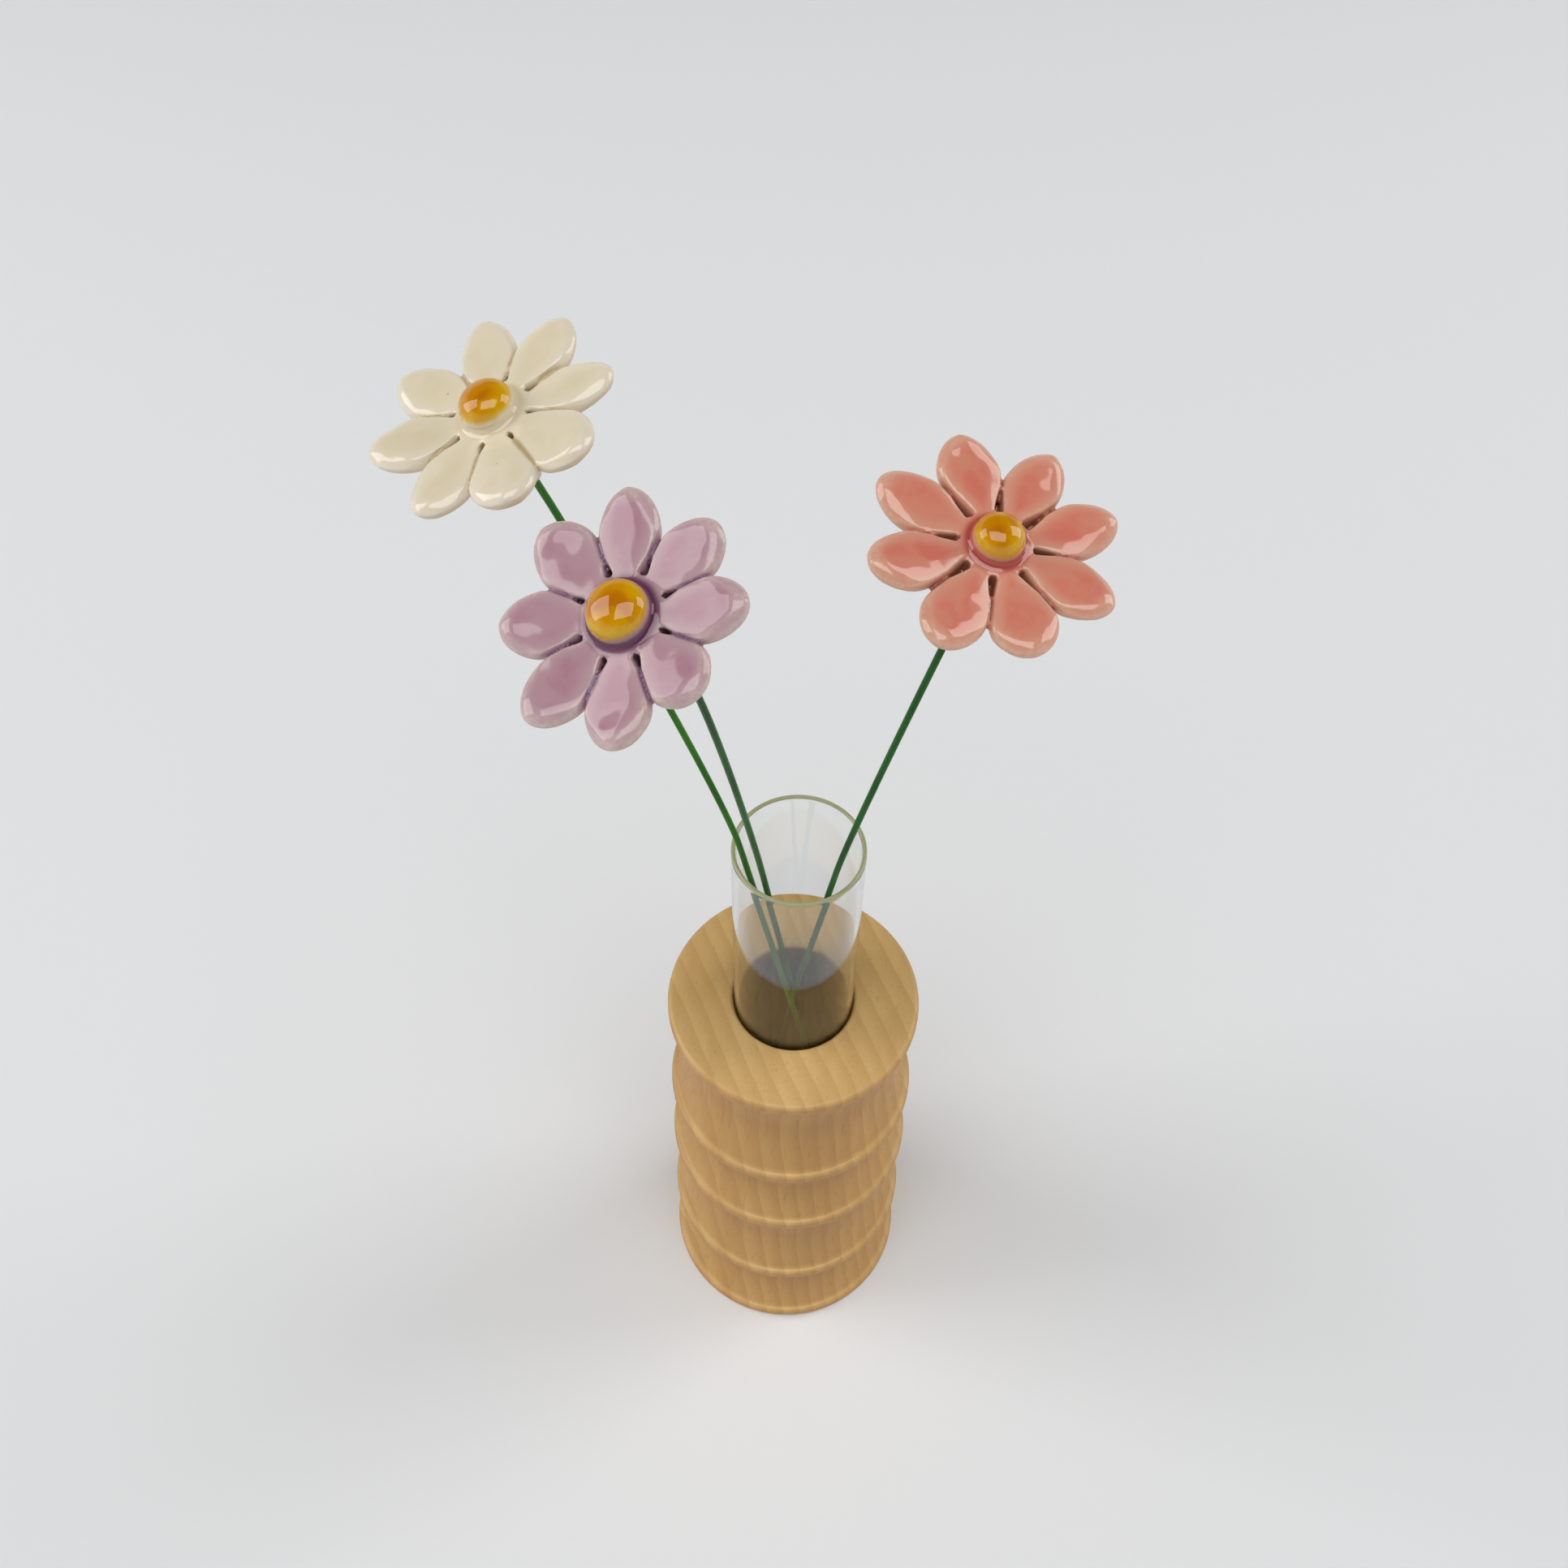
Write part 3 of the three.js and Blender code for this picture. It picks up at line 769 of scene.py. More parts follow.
def petal_section(radius, along, daisy, k):
    """Petal k's section at a radius: points over the top from right to left, and back underneath."""
    reach = petal_reach(daisy, k)
    sector, tip = petal_limits(radius, SHARES, daisy, k)
    width = np.maximum(half_width(radius, SHARES, daisy, k), LEAST_WIDTH)
    free = eased(sector - tip, *FREE_SPAN)
    edge = np.where(UPPER, GROOVE_EDGE + (FREE_EDGE - GROOVE_EDGE) * free, BACK_EDGE)
    rounding = np.clip(1 - (1 - np.abs(SHARES)) * width / np.minimum(edge, width), 0, 1)
    crown = PETAL_CROWN - (PETAL_DOME * SHARES ** 2 + TIP_THINNING * along) * along
    top_level = crown * fall_off(radius, reach, TIP_ROUNDING)
    back_level = -PETAL_UNDERSIDE * fall_off(radius, reach, BACK_ROUNDING)
    x = SHARES * width
    z = np.where(UPPER, top_level, back_level) * np.sqrt(1 - rounding ** 2)
    z += cup(daisy, np.hypot(x, radius)) - daisy["droops"][k] * along ** 2
    return np.stack([x, np.full_like(x, radius), z], axis=1)


print("Petal section:", UPPER.sum(), "points on top and", (~UPPER).sum(), "underneath")

# %% [markdown]
# The sections of a petal are set along +Y, from the hub to the tip, and joined into a closed skin. Bridge
# Edge Loops could join them by hand, but a loop gives the same faces each time: four-sided ones between
# sections, and a fan at the root and at the tip. Sections lie closer together towards the tip, where the
# outline turns.

# %% Petal lofts
PETAL_ROOT = 1.5
PETAL_STATIONS = 72


def petal_form(name, daisy, k):
    """Petal k as a closed loft along +Y, in millimetres."""
    start, reach = hub_radius(daisy) - PETAL_ROOT, petal_reach(daisy, k)
    alongs = np.sin(math.pi / 2 * np.arange(PETAL_STATIONS) / PETAL_STATIONS)
    sections = [petal_section(start + (reach - start) * along, along, daisy, k) for along in alongs]
    ends = [(0, start, 0), (0, reach, daisy["cupping"] - daisy["droops"][k])]
    points = np.concatenate([*sections, ends])
    root, tip = len(points) - 2, len(points) - 1
    count = len(SHARES)
    last = (PETAL_STATIONS - 1) * count
    faces = []
    for i in range(count):
        j = (i + 1) % count
        faces.append((root, i, j))
        faces += [(low + i, low + count + i, low + count + j, low + j) for low in range(0, last, count)]
        faces.append((last + i, tip, last + j))
    mesh = bpy.data.meshes.new(name)
    mesh.from_pydata(points.tolist(), [], faces)
    return bpy.data.objects.new(name, mesh)


print("Petal loft:", PETAL_STATIONS, "sections of", len(SHARES), "points each")

# %% [markdown]
# The petals stand in a ring. They could be placed by hand, but a ring is a rule, so a tree sets them:
# eight points carry each petal's turn, twist and tilt as attributes, Instance on Points picks one petal of
# the collection for each, and the hub joins in.

# %% Geometry Nodes: the ring of petals


def carried(tree, name):
    values = {"Name": name}
    return add_node(tree, "GeometryNodeInputNamedAttribute", values, data_type="FLOAT").outputs["Attribute"]


def ring_tree():
    tree, given = new_tree("petal_ring", {"Petals": "NodeSocketCollection", "Hub": "NodeSocketObject"})
    values = {"Collection": given["Petals"], "Separate Children": True, "Reset Children": True}
    petals = add_node(tree, "GeometryNodeCollectionInfo", values).outputs[0]
    values = {"X": carried(tree, "tilt"), "Y": carried(tree, "twist"), "Z": carried(tree, "turn")}
    angles = add_node(tree, "ShaderNodeCombineXYZ", values).outputs[0]
    rotation = add_node(tree, "FunctionNodeEulerToRotation", {0: angles}).outputs[0]
    index = add_node(tree, "GeometryNodeInputIndex").outputs[0]
    values = {"Points": given["Geometry"], "Instance": petals, "Pick Instance": True,
              "Instance Index": index, "Rotation": rotation}
    placed = add_node(tree, "GeometryNodeInstanceOnPoints", values).outputs[0]
    hub = add_node(tree, "GeometryNodeObjectInfo", {"Object": given["Hub"]}).outputs["Geometry"]
    joined = add_node(tree, "GeometryNodeJoinGeometry")
    for part in (placed, hub):
        feed(tree, joined, {0: part})
    return end_tree(tree, given, joined.outputs[0])


def ring_points(name, daisy):
    """One point for each petal, with the petal's angles stored on it."""
    piece = chain_object(name, [(0, 0, 0)] * PETAL_COUNT)
    turns = [-daisy["spin"] - k * PETAL_PITCH - daisy["turns"][k] for k in range(PETAL_COUNT)]
    for key, degrees in (("turn", turns), ("twist", daisy["twists"]), ("tilt", daisy["tilts"])):
        store(piece.data, key, np.radians(degrees))
    return piece


PETAL_RING = ring_tree()
print("Ring tree:", len(PETAL_RING.nodes), "nodes")

# %% [markdown]
# Glaze runs while it melts: it thins over outer edges, where the clay shows through, and pools in hollows,
# where it turns deep. The Pointiness of a shader could find such places, but it looks only as far as the
# next points of the mesh, which lie close together here. So the relief is measured over a wider stretch:
# the mesh is smoothed over about a millimetre, and a point that lies below the smoothed surface is in a
# hollow, one above it is on an edge.

# %% Relief of the glaze
RELIEF_ROUNDS = 39


def read_vectors(items, name):
    values = np.empty(len(items) * 3)
    items.foreach_get(name, values)
    return values.reshape(-1, 3)


def relief_of(mesh, points, normals):
    """How far each point lies below the surface smoothed round it."""
    edges = np.empty(len(mesh.edges) * 2, dtype=np.int64)
    mesh.edges.foreach_get("vertices", edges)
    first, second = edges[0::2], edges[1::2]
    count = len(points)
    neighbours = np.bincount(edges, minlength=count)[:, None]
    smooth = points
    for _ in range(RELIEF_ROUNDS):
        totals = [np.bincount(first, column[second], count) + np.bincount(second, column[first], count)
                  for column in smooth.T]
        smooth = np.stack(totals, axis=1) / neighbours
    return np.sum((smooth - points) * normals, axis=1)


print("Relief: smoothed", RELIEF_ROUNDS, "times")

# %% [markdown]
# More places follow from the petals' outlines. Glaze fills the groove where two petals meet, gathers in a
# ring round the foot of the centre, and is richer in the middle of a petal than at its outline. The walls
# and the floor of a slot take a dark tone, partly the glaze's own and partly painted shade of the recess.
# The underside, which lay on the kiln shelf, stays mostly bare, and the clay tone that reaches up the
# steep outer sides is partly bare clay and partly painted shade.
# Vertex paint could mark all this by hand. Here each mark is worked out at every point and stored as an
# attribute for the finish to read.

# %% Glaze marks
POOL_RANGE = (0.04, 0.26)
THIN_RANGE = (0.025, 0.19)
RICH_RANGE = (0.2, 3.4)
GROOVE_RANGE = (-0.45, 0.08)
UNDERSIDE_AND_SHADE_RANGE = (-0.3, 0.5)
RING_WIDTH = 1.35
RING_INSET = 0.35
SLOT_DEPTH = 0.3
SLOT_WALL = (-0.8, -0.35)
SLOT_FLOOR = (-0.05, 0.1)
HUB_DEPTH = 1.4
LEAST_RADIUS = 0.1


def petal_depths(points, daisy):
    """How far each point lies inside its own petal and the next nearest one, seen along the head's axis."""
    radius = np.hypot(points[:, 0], points[:, 1])
    angle = np.degrees(np.arctan2(points[:, 0], points[:, 1]))
    depths = []
    for k in range(PETAL_COUNT):
        off = angle - daisy["spin"] - k * PETAL_PITCH - daisy["turns"][k]
        off = np.radians((off + 180) % 360 - 180)
        x, y = radius * np.sin(off), radius * np.cos(off)
        reach = petal_reach(daisy, k)
        depth = np.minimum(half_width(np.maximum(y, LEAST_RADIUS), x, daisy, k) - np.abs(x), reach - y)
        depths.append(np.where(y > 0, depth, -reach))
    depths = np.sort(depths, axis=0)
    return depths[-1], depths[-2]


def mark_glaze(mesh, daisy):
    """Stores how the glaze lies on a slab in millimetres, and returns the mean of each mark."""
    points = read_vectors(mesh.vertices, "co")
    normals = read_vectors(mesh.vertex_normals, "vector")
    down = -normals[:, 2]
    relief = relief_of(mesh, points, normals)
    radius = np.hypot(points[:, 0], points[:, 1])
    foot = daisy["dome"] + RING_INSET
    foot_level = PETAL_CROWN + cup(daisy, foot) + RING_INSET
    from_foot = np.hypot(radius - foot, points[:, 2] - foot_level)
    own, beside = petal_depths(points, daisy)
    past_hub = radius - hub_radius(daisy)
    inside = np.maximum(own, np.where(past_hub < 0, HUB_DEPTH, 0))
    groove = eased(beside, *GROOVE_RANGE) * (past_hub > 0)
    walls = eased(SLOT_DEPTH - own, 0, SLOT_DEPTH) * eased(down, *SLOT_WALL)
    along_slot = (past_hub > -SLOT_DEPTH) & (past_hub < daisy["slot_length"])
    marks = {
        "pool": np.maximum(eased(relief, *POOL_RANGE), groove),
        # The slot mark is partly the deeper colour of glaze and clay in a slot and partly painted shade of
        # the recess.
        "slot": np.maximum(walls, eased(-own, *SLOT_FLOOR)) * along_slot,
        "ring": eased(RING_WIDTH - from_foot, 0, RING_WIDTH),
        "thin": eased(-relief, *THIN_RANGE),
        "rich": eased(inside, *RICH_RANGE),
        # Bare clay underneath; up the steep sides the same tone is partly bare clay and partly painted
        # shade.
        "under": eased(down, *UNDERSIDE_AND_SHADE_RANGE),
    }
    for name, values in marks.items():
        store(mesh, name, values)
    return {name: round(float(values.mean()), 3) for name, values in marks.items()}


print("Glaze marks: pool, slot, ring, thin, rich and under")

# %% [markdown]
# A glaze is one glossy layer whose colour changes with its thickness. A single colour with gloss would
# look like plastic, and a painted picture would need unwrapping, so the marks choose between tones: the
# base drifts into broad patches and pales towards the outline, the deep tone fills the grooves, and clay
# shows at thin edges and underneath, where its tone also reaches up the steep sides, partly as bare clay
# and partly as painted shade. Layers are mixed in the order below, each over the ones before. A low swell
# in the surface makes reflections wander as they do on real glaze.

# %% Glaze finishes
# The slot tones are partly the glaze's and the clay's own deeper colour and partly painted shade of the
# recess.
GLAZES = {
    "white": {"base": tone(229, 217, 189), "patch": tone(225, 211, 180), "pale": tone(230, 219, 194),
              "thin": tone(232, 220, 203), "deep": tone(186, 164, 116), "ring": tone(219, 203, 172),
              "slot": tone(158, 134, 84), "clay": tone(216, 190, 152), "ior": 1.62, "roughness": 0.065},
    "lilac": {"base": tone(182, 144, 154), "patch": tone(174, 128, 143), "pale": tone(187, 156, 161),
              "thin": tone(210, 189, 181), "deep": tone(104, 64, 100), "ring": tone(94, 42, 76),
              "slot": tone(66, 42, 62), "clay": tone(206, 174, 162), "ior": 1.53, "roughness": 0.08},
    "coral": {"base": tone(215, 138, 115), "patch": tone(214, 119, 101), "pale": tone(217, 157, 133),
              "thin": tone(220, 178, 152), "deep": tone(146, 76, 60), "ring": tone(172, 66, 58),
              "slot": tone(148, 88, 62), "clay": tone(214, 166, 138), "ior": 1.62, "roughness": 0.065},
}
SPECK_TONE = tone(146, 110, 80)
DRIFT_NOISE = (190, 3.0, 0.55, 0.4)
BROKEN_NOISE = (1500, 2.0)
SPECK_NOISE = (1900, 0.0)
SWELL_NOISE = (190, 1.0)
PATCH_MIX = (0.36, 0.66)
PALE_MIX = (0.9, 0.0, 0.0, 0.7)
THIN_MIX = (0.25, 0.75, 0.35, 0.95)
POOL_MIX = (0.1, 0.7, 0.75, 1.0)
SPECK_MIX = (0.88, 0.91, 0.0, 0.6)
CLAY_AND_SHADE_SHARE = 0.8
DULL_RANGE = (0.5, 1.0)
CLAY_ROUGHNESS = 0.45
SWELL_BUMP = (0.4 * MM, 0.6)


def glaze_finish(name, glaze):
    material, tree, shader = new_material(f"{name}_glaze")
    spot = place_in_object(tree)
    drift, broken = noise(tree, spot, *DRIFT_NOISE), noise(tree, spot, *BROKEN_NOISE)
    rich, under = attribute(tree, "rich"), attribute(tree, "under")
    thin, pool = attribute(tree, "thin"), attribute(tree, "pool")
    layers = {
        "patch": maths(tree, "MULTIPLY", rich, smooth_step(tree, drift, *PATCH_MIX)),
        "pale": smooth_step(tree, rich, *PALE_MIX),
        "thin": maths(tree, "MULTIPLY", thin, smooth_step(tree, broken, *THIN_MIX)),
        "deep": maths(tree, "MULTIPLY", pool, smooth_step(tree, broken, *POOL_MIX)),
        "ring": attribute(tree, "ring"),
        # The slot tone is partly painted shade in the slots.
        "slot": attribute(tree, "slot"),
        "speck": smooth_step(tree, noise(tree, spot, *SPECK_NOISE), *SPECK_MIX),
        # The clay layer is bare clay underneath and partly painted shade on the steep sides.
        "clay": maths(tree, "MULTIPLY", under, CLAY_AND_SHADE_SHARE),
    }
    tones = {**glaze, "speck": SPECK_TONE}
    colour = tones["base"]
    for layer, share in layers.items():
        colour = mixed(tree, share, colour, tones[layer])
    gloss = smooth_step(tree, under, *DULL_RANGE, glaze["roughness"], CLAY_ROUGHNESS)
    feed(tree, shader, {"Base Color": colour, "Roughness": gloss, "IOR": glaze["ior"]})
    bumped(tree, shader, noise(tree, spot, *SWELL_NOISE), *SWELL_BUMP)
    return material


GLAZE_MATERIALS = {name: glaze_finish(name, glaze) for name, glaze in GLAZES.items()}
print("Glazes:", list(GLAZE_MATERIALS))

# %% [markdown]
# Round the middle of a slab a hub joins the petals, a low boss with a flared foot carries the centre, and
# a thin web of clay floors the slots. Each could be a form of its own, but all are round, so one profile
# holds them: along the underside to the edge of the web, back over the web, up the hub's side and over the
# boss.

# %% Hub and boss
BOSS_HEIGHT = 1.3
BOSS_FLARE = 0.95
FLARE_STEPS = 6
WALL_MARGIN = 0.06
WALL_EDGE = 0.12
HUB_EDGE = 0.35
HUB_DROP = 0.12
EDGE_STEPS = 4
WEB_SHARE = 1.15
WEB_STEPS = 12
WEB_RAISE = 0.1
WEB_THICKNESS = 0.8

def hub_profile(daisy):
    hub = hub_radius(daisy)
    wall = daisy["dome"] + WALL_MARGIN
    top = PETAL_CROWN + BOSS_HEIGHT
    foot = wall + BOSS_FLARE
    shoulder = PETAL_CROWN + cup(daisy, hub) - HUB_DROP
    flare = PETAL_CROWN + cup(daisy, foot) + BOSS_FLARE
    web = np.linspace(0, hub + WEB_SHARE * daisy["slot_length"], WEB_STEPS)
    floor = cup(daisy, web) - PETAL_UNDERSIDE + WEB_RAISE
    web_top = [(r, z + WEB_THICKNESS) for r, z in zip(web, floor) if r > hub]
    return [*zip(web, floor), *reversed(web_top), (hub, web_top[0][1]),
            *arc(hub - HUB_EDGE, shoulder - HUB_EDGE, HUB_EDGE, 0, 90, EDGE_STEPS),
            *arc(foot, flare, BOSS_FLARE, 270, 180, FLARE_STEPS),
            *arc(wall - WALL_EDGE, top - WALL_EDGE, WALL_EDGE, 0, 90, EDGE_STEPS), (0, top)]


print("Hub profile points:", {name: len(hub_profile(daisy)) for name, daisy in DAISIES.items()})

# %% [markdown]
# The slab is one piece of clay with its petals, hub, boss and web. Booleans could join so many forms, but
# they leave sharp creases. A voxel remesh fuses them instead, a little smoothing rounds the creases as
# melted glaze does, and a Displace with broad clouds makes the clay uneven, as pressing by hand does. The
# slab is made in millimetres about its own axes, where the glaze is marked on it, and then goes to its
# place.

# %% Petal slabs
HUB_SIDES = 72
VOXEL = 0.162
GLAZE_ROUNDS = 4
LUMP_SIZE = 6.0
LUMP_HEIGHT = 0.26
LUMP_LEVEL = 0.7
LUMPS = bpy.data.textures.new("clay_lumps", "CLOUDS")
LUMPS.noise_scale = LUMP_SIZE
LUMPS.noise_depth = 0


def fuse_clay(piece):
    """Makes one uneven body of the petals and the hub."""
    fused = piece.modifiers.new("fuse", "REMESH")
    fused.mode = "VOXEL"
    fused.voxel_size = VOXEL
    melted = piece.modifiers.new("melt", "SMOOTH")
    melted.iterations = GLAZE_ROUNDS
    uneven = piece.modifiers.new("uneven", "DISPLACE")
    uneven.texture = LUMPS
    uneven.strength = LUMP_HEIGHT
    uneven.mid_level = LUMP_LEVEL


def petal_slab(name, daisy):
    material = GLAZE_MATERIALS[name]
    petals = bpy.data.collections.new(f"{name}_cut_petals")
    for k in range(PETAL_COUNT):
        petals.objects.link(petal_form(f"{name}_cut_petal_{k}", daisy, k))
    hub = turned_piece(f"{name}_hub", hub_profile(daisy), HUB_SIDES, material)
    hub.data.transform(Matrix.Scale(1 / MM, 4))
    piece = ring_points(f"{name}_petal_slab", daisy)
    nodes_modifier(piece, PETAL_RING, {"Petals": petals, "Hub": hub, "Material": material})
    fuse_clay(piece)
    settle(piece, material)
    for helper in [hub, *petals.objects]:
        bpy.data.objects.remove(helper)
    bpy.data.collections.remove(petals)
    marks = mark_glaze(piece.data, daisy)
    piece.data.transform(Matrix.Scale(MM, 4))
    print(name, "slab:", len(piece.data.polygons), "faces, mean marks", marks)
    return seat_on_head(piece, daisy)


for daisy_name, daisy_values in DAISIES.items():
    slab = petal_slab(daisy_name, daisy_values)
    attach(slab, f"{daisy_name}_daisy")
    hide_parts(f"{daisy_name}_petals")

# %% [markdown]
# The centres have an amber glaze, which runs brown where it is thick, over the top, and yellow where it is
# thin, and it meets the petal glaze in a soft edge. A plain colour ramp over the height would look sprayed
# on, so clouds make the level sway and fine streaks run through the tone. An attribute tells the finish
# how high up the dome a point lies.

# %% Amber finishes
AMBER_DEEP = tone(184, 106, 0)
AMBER_MID = tone(208, 146, 0)
AMBER_GOLD = tone(214, 168, 4)
AMBER_IOR = 1.58
AMBER_ROUGHNESS = 0.02
CLOUD_NOISE = (230, 2.0, 0.5, 0.6)
CLOUD_RANGE = (0.2, 0.8)
LEVEL_SWAY = 0.25
EDGE_SWAY = 0.06
DEEP_MIX = (0.7, 1.2)
GOLD_MIX = (0.85, 0.4)
STREAK_NOISE = (1400, 2.0)
STREAK_MIX = (0.55, 0.8, 0.0, 0.25)
SKIRT_MIX = (0.45, 0.1)
AMBER_SWELL_NOISE = (330, 0.0)
AMBER_BUMP = (0.2 * MM, 0.3)


def amber_finish(name, petal_tone):
    material, tree, shader = new_material(f"{name}_amber")
    spot = place_in_object(tree)
    height = attribute(tree, "height")
    cloud, streak = noise(tree, spot, *CLOUD_NOISE), noise(tree, spot, *STREAK_NOISE)
    level, edge = (maths(tree, "ADD", height, smooth_step(tree, cloud, *CLOUD_RANGE, -sway, sway))
                   for sway in (LEVEL_SWAY, EDGE_SWAY))
    colour = mixed(tree, smooth_step(tree, level, *DEEP_MIX), AMBER_MID, AMBER_DEEP)
    colour = mixed(tree, smooth_step(tree, level, *GOLD_MIX), colour, AMBER_GOLD)
    colour = mixed(tree, smooth_step(tree, streak, *STREAK_MIX), colour, AMBER_DEEP)
    colour = mixed(tree, smooth_step(tree, edge, *SKIRT_MIX), colour, petal_tone)
    feed(tree, shader, {"Base Color": colour, "Roughness": AMBER_ROUGHNESS, "IOR": AMBER_IOR})
    bumped(tree, shader, noise(tree, spot, *AMBER_SWELL_NOISE), *AMBER_BUMP)
    return material


AMBER_MATERIALS = {name: amber_finish(name, glaze["pale"]) for name, glaze in GLAZES.items()}
print("Amber finishes:", list(AMBER_MATERIALS))

# %% [markdown]
# The centre is a button of clay, pressed onto the boss before the firing. A scaled sphere falls away too
# soon, so the button is turned from a profile with fuller flanks. It sinks a little into the boss, so that
# no gap shows between them.

# %% Centre buttons
DOME_HEIGHT = 2.4
DOME_SINK = 0.35
DOME_FLANK = 0.8
DOME_FULLNESS = 0.88
DOME_STEPS = 24
DOME_SIDES = 96
BUTTON_SKIRT = 0.3
SEAT_GAP = 0.3


def centre_button(name, daisy):
    radius = daisy["dome"]
    seat = PETAL_CROWN + BOSS_HEIGHT - DOME_SINK
    height = DOME_HEIGHT + SEAT_GAP + DOME_SINK
    angles = np.linspace(0, math.pi / 2, DOME_STEPS, endpoint=False)
    dome = zip(radius * np.cos(angles) ** DOME_FLANK, seat + height * np.sin(angles) ** DOME_FULLNESS)
    skirt = seat - BUTTON_SKIRT
    profile = [(0, skirt), (radius - BUTTON_SKIRT, skirt), *dome, (0, seat + height)]
    piece = turned_piece(f"{name}_centre_button", profile, DOME_SIDES, AMBER_MATERIALS[name])
    levels = (read_vectors(piece.data.vertices, "co")[:, 2] / MM - seat) / height
    store(piece.data, "height", np.clip(levels, 0, 1))
    return seat_on_head(piece, daisy)


for daisy_name, daisy_values in DAISIES.items():
    button = centre_button(daisy_name, daisy_values)
    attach(button, f"{daisy_name}_daisy")
    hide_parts(f"{daisy_name}_centre")
    print(daisy_name, "button:", len(button.data.polygons), "faces")

# %% [markdown]
# The sockets are bare fired clay, matt and gritty, and the glue is a clear resin that has gone cloudy.
# Plain colours would look like plastic beside the glaze, so each gets a stain or a cloud in two tones, and
# the clay's grit also roughens its gloss and its surface.

# %% Clay and glue finishes
CLAY_LIGHT = tone(222, 204, 188)
CLAY_STAIN = tone(208, 182, 162)
CLAY_GRIT = tone(168, 134, 112)
STAIN_NOISE = (350, 2.0)
STAIN_MIX = (0.35, 0.7)
GRIT_NOISE = (2400, 3.0)
GRIT_MIX = (0.6, 0.8, 0.0, 0.4)
GRIT_ROUGHNESS = (0.2, 0.8, 0.5, 0.75)
GRIT_BUMP = (0.1 * MM, 0.5)
GLUE_CLEAR = tone(214, 204, 176)
GLUE_CLOUDY = tone(196, 176, 136)
GLUE_NOISE = (900, 2.0)
GLUE_MIX = (0.3, 0.7)
GLUE_ROUGHNESS = 0.22


def clay_finish():
    material, tree, shader = new_material("bare_clay")
    spot = place_in_object(tree)
    grit, stain = noise(tree, spot, *GRIT_NOISE), noise(tree, spot, *STAIN_NOISE)
    colour = mixed(tree, smooth_step(tree, stain, *STAIN_MIX), CLAY_LIGHT, CLAY_STAIN)
    colour = mixed(tree, smooth_step(tree, grit, *GRIT_MIX), colour, CLAY_GRIT)
    feed(tree, shader, {"Base Color": colour, "Roughness": smooth_step(tree, grit, *GRIT_ROUGHNESS)})
    bumped(tree, shader, grit, *GRIT_BUMP)
    return material


def glue_finish():
    material, tree, shader = new_material("set_glue")
    cloud = noise(tree, place_in_object(tree), *GLUE_NOISE)
    colour = mixed(tree, smooth_step(tree, cloud, *GLUE_MIX), GLUE_CLEAR, GLUE_CLOUDY)
    feed(tree, shader, {"Base Color": colour, "Roughness": GLUE_ROUGHNESS})
    return material


CLAY = clay_finish()
GLUE = glue_finish()
print("Finishes:", CLAY.name, "and", GLUE.name)

# %% [markdown]
# Behind each head a tapered clay socket takes the stem, and a bead of glue fills its mouth. A plain cone
# would do for the socket, but a potter's thumb leaves a hollow flank, so its radius follows a parabola
# through the root, the waist and the end. It was pressed onto the wet slab, so its clay runs into the slab
# a little and no gap shows between them.

# %% Sockets and glue
SOCKET_LENGTH = 9.5
SOCKET_BACK = 2.4
SOCKET_JOIN = 0.5
SOCKET_ROOT_RADIUS = 3.3
SOCKET_WAIST_RADIUS = 2.15
SOCKET_END_RADIUS = 1.55
SOCKET_BORE_RADIUS = 1.0
WAIST_DROP = SOCKET_LENGTH / 3
MOUTH_EDGE = 0.2
END_EDGE = 0.3
SIDE_START = 0.4
SOCKET_STEPS = 14
SOCKET_SIDES = 48
COAT_RADIUS = 0.575
GLUE_SKIN = 0.02
GLUE_BEAD = 0.25
GLUE_SHOULDER = 0.8
GLUE_RISE = 0.12
SOCKET_ROOT = -PETAL_UNDERSIDE - SEAT_GAP
SOCKET_END = SOCKET_ROOT - SOCKET_LENGTH
SOCKET_BORE_END = SOCKET_ROOT - SOCKET_BACK


def socket_profile():
    top = SOCKET_JOIN - PETAL_UNDERSIDE
    levels = [SOCKET_END, SOCKET_ROOT - WAIST_DROP, SOCKET_ROOT]
    bend = np.polyfit(levels, [SOCKET_END_RADIUS, SOCKET_WAIST_RADIUS, SOCKET_ROOT_RADIUS], 2)
    heights = np.linspace(SOCKET_END + SIDE_START, top, SOCKET_STEPS + 1)
    flank = list(zip(np.polyval(bend, heights), heights))
    mouth, edge = SOCKET_BORE_RADIUS + MOUTH_EDGE, flank[0][0] - END_EDGE
    return [(0, SOCKET_BORE_END), (SOCKET_BORE_RADIUS, SOCKET_BORE_END),
            *arc(mouth, SOCKET_END + MOUTH_EDGE, MOUTH_EDGE, 180, 270, EDGE_STEPS),
            *arc(edge, SOCKET_END + END_EDGE, END_EDGE, 270, 360, EDGE_STEPS), *flank, (0, top)]


def glue_profile():
    inner, outer = COAT_RADIUS + GLUE_SKIN, SOCKET_BORE_RADIUS - GLUE_SKIN
    top = SOCKET_BORE_END - SEAT_GAP
    bead = (inner, SOCKET_END - GLUE_BEAD)
    return [bead, (GLUE_SHOULDER, SOCKET_END - GLUE_SKIN), (outer, SOCKET_END + GLUE_RISE), (outer, top),
            (inner, top), bead]


for daisy_name, daisy_values in DAISIES.items():
    for part, profile, finish, slot_name in (("socket", socket_profile(), CLAY, "bare_clay"),
                                             ("glue", glue_profile(), GLUE, "glue")):
        piece = turned_piece(f"{daisy_name}_{part}_piece", profile, SOCKET_SIDES, finish)
        seat_on_head(piece, daisy_values)
        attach(piece, f"{daisy_name}_daisy")
        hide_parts(f"{daisy_name}_{part}")
        print(daisy_name, part, len(piece.data.polygons), "faces")

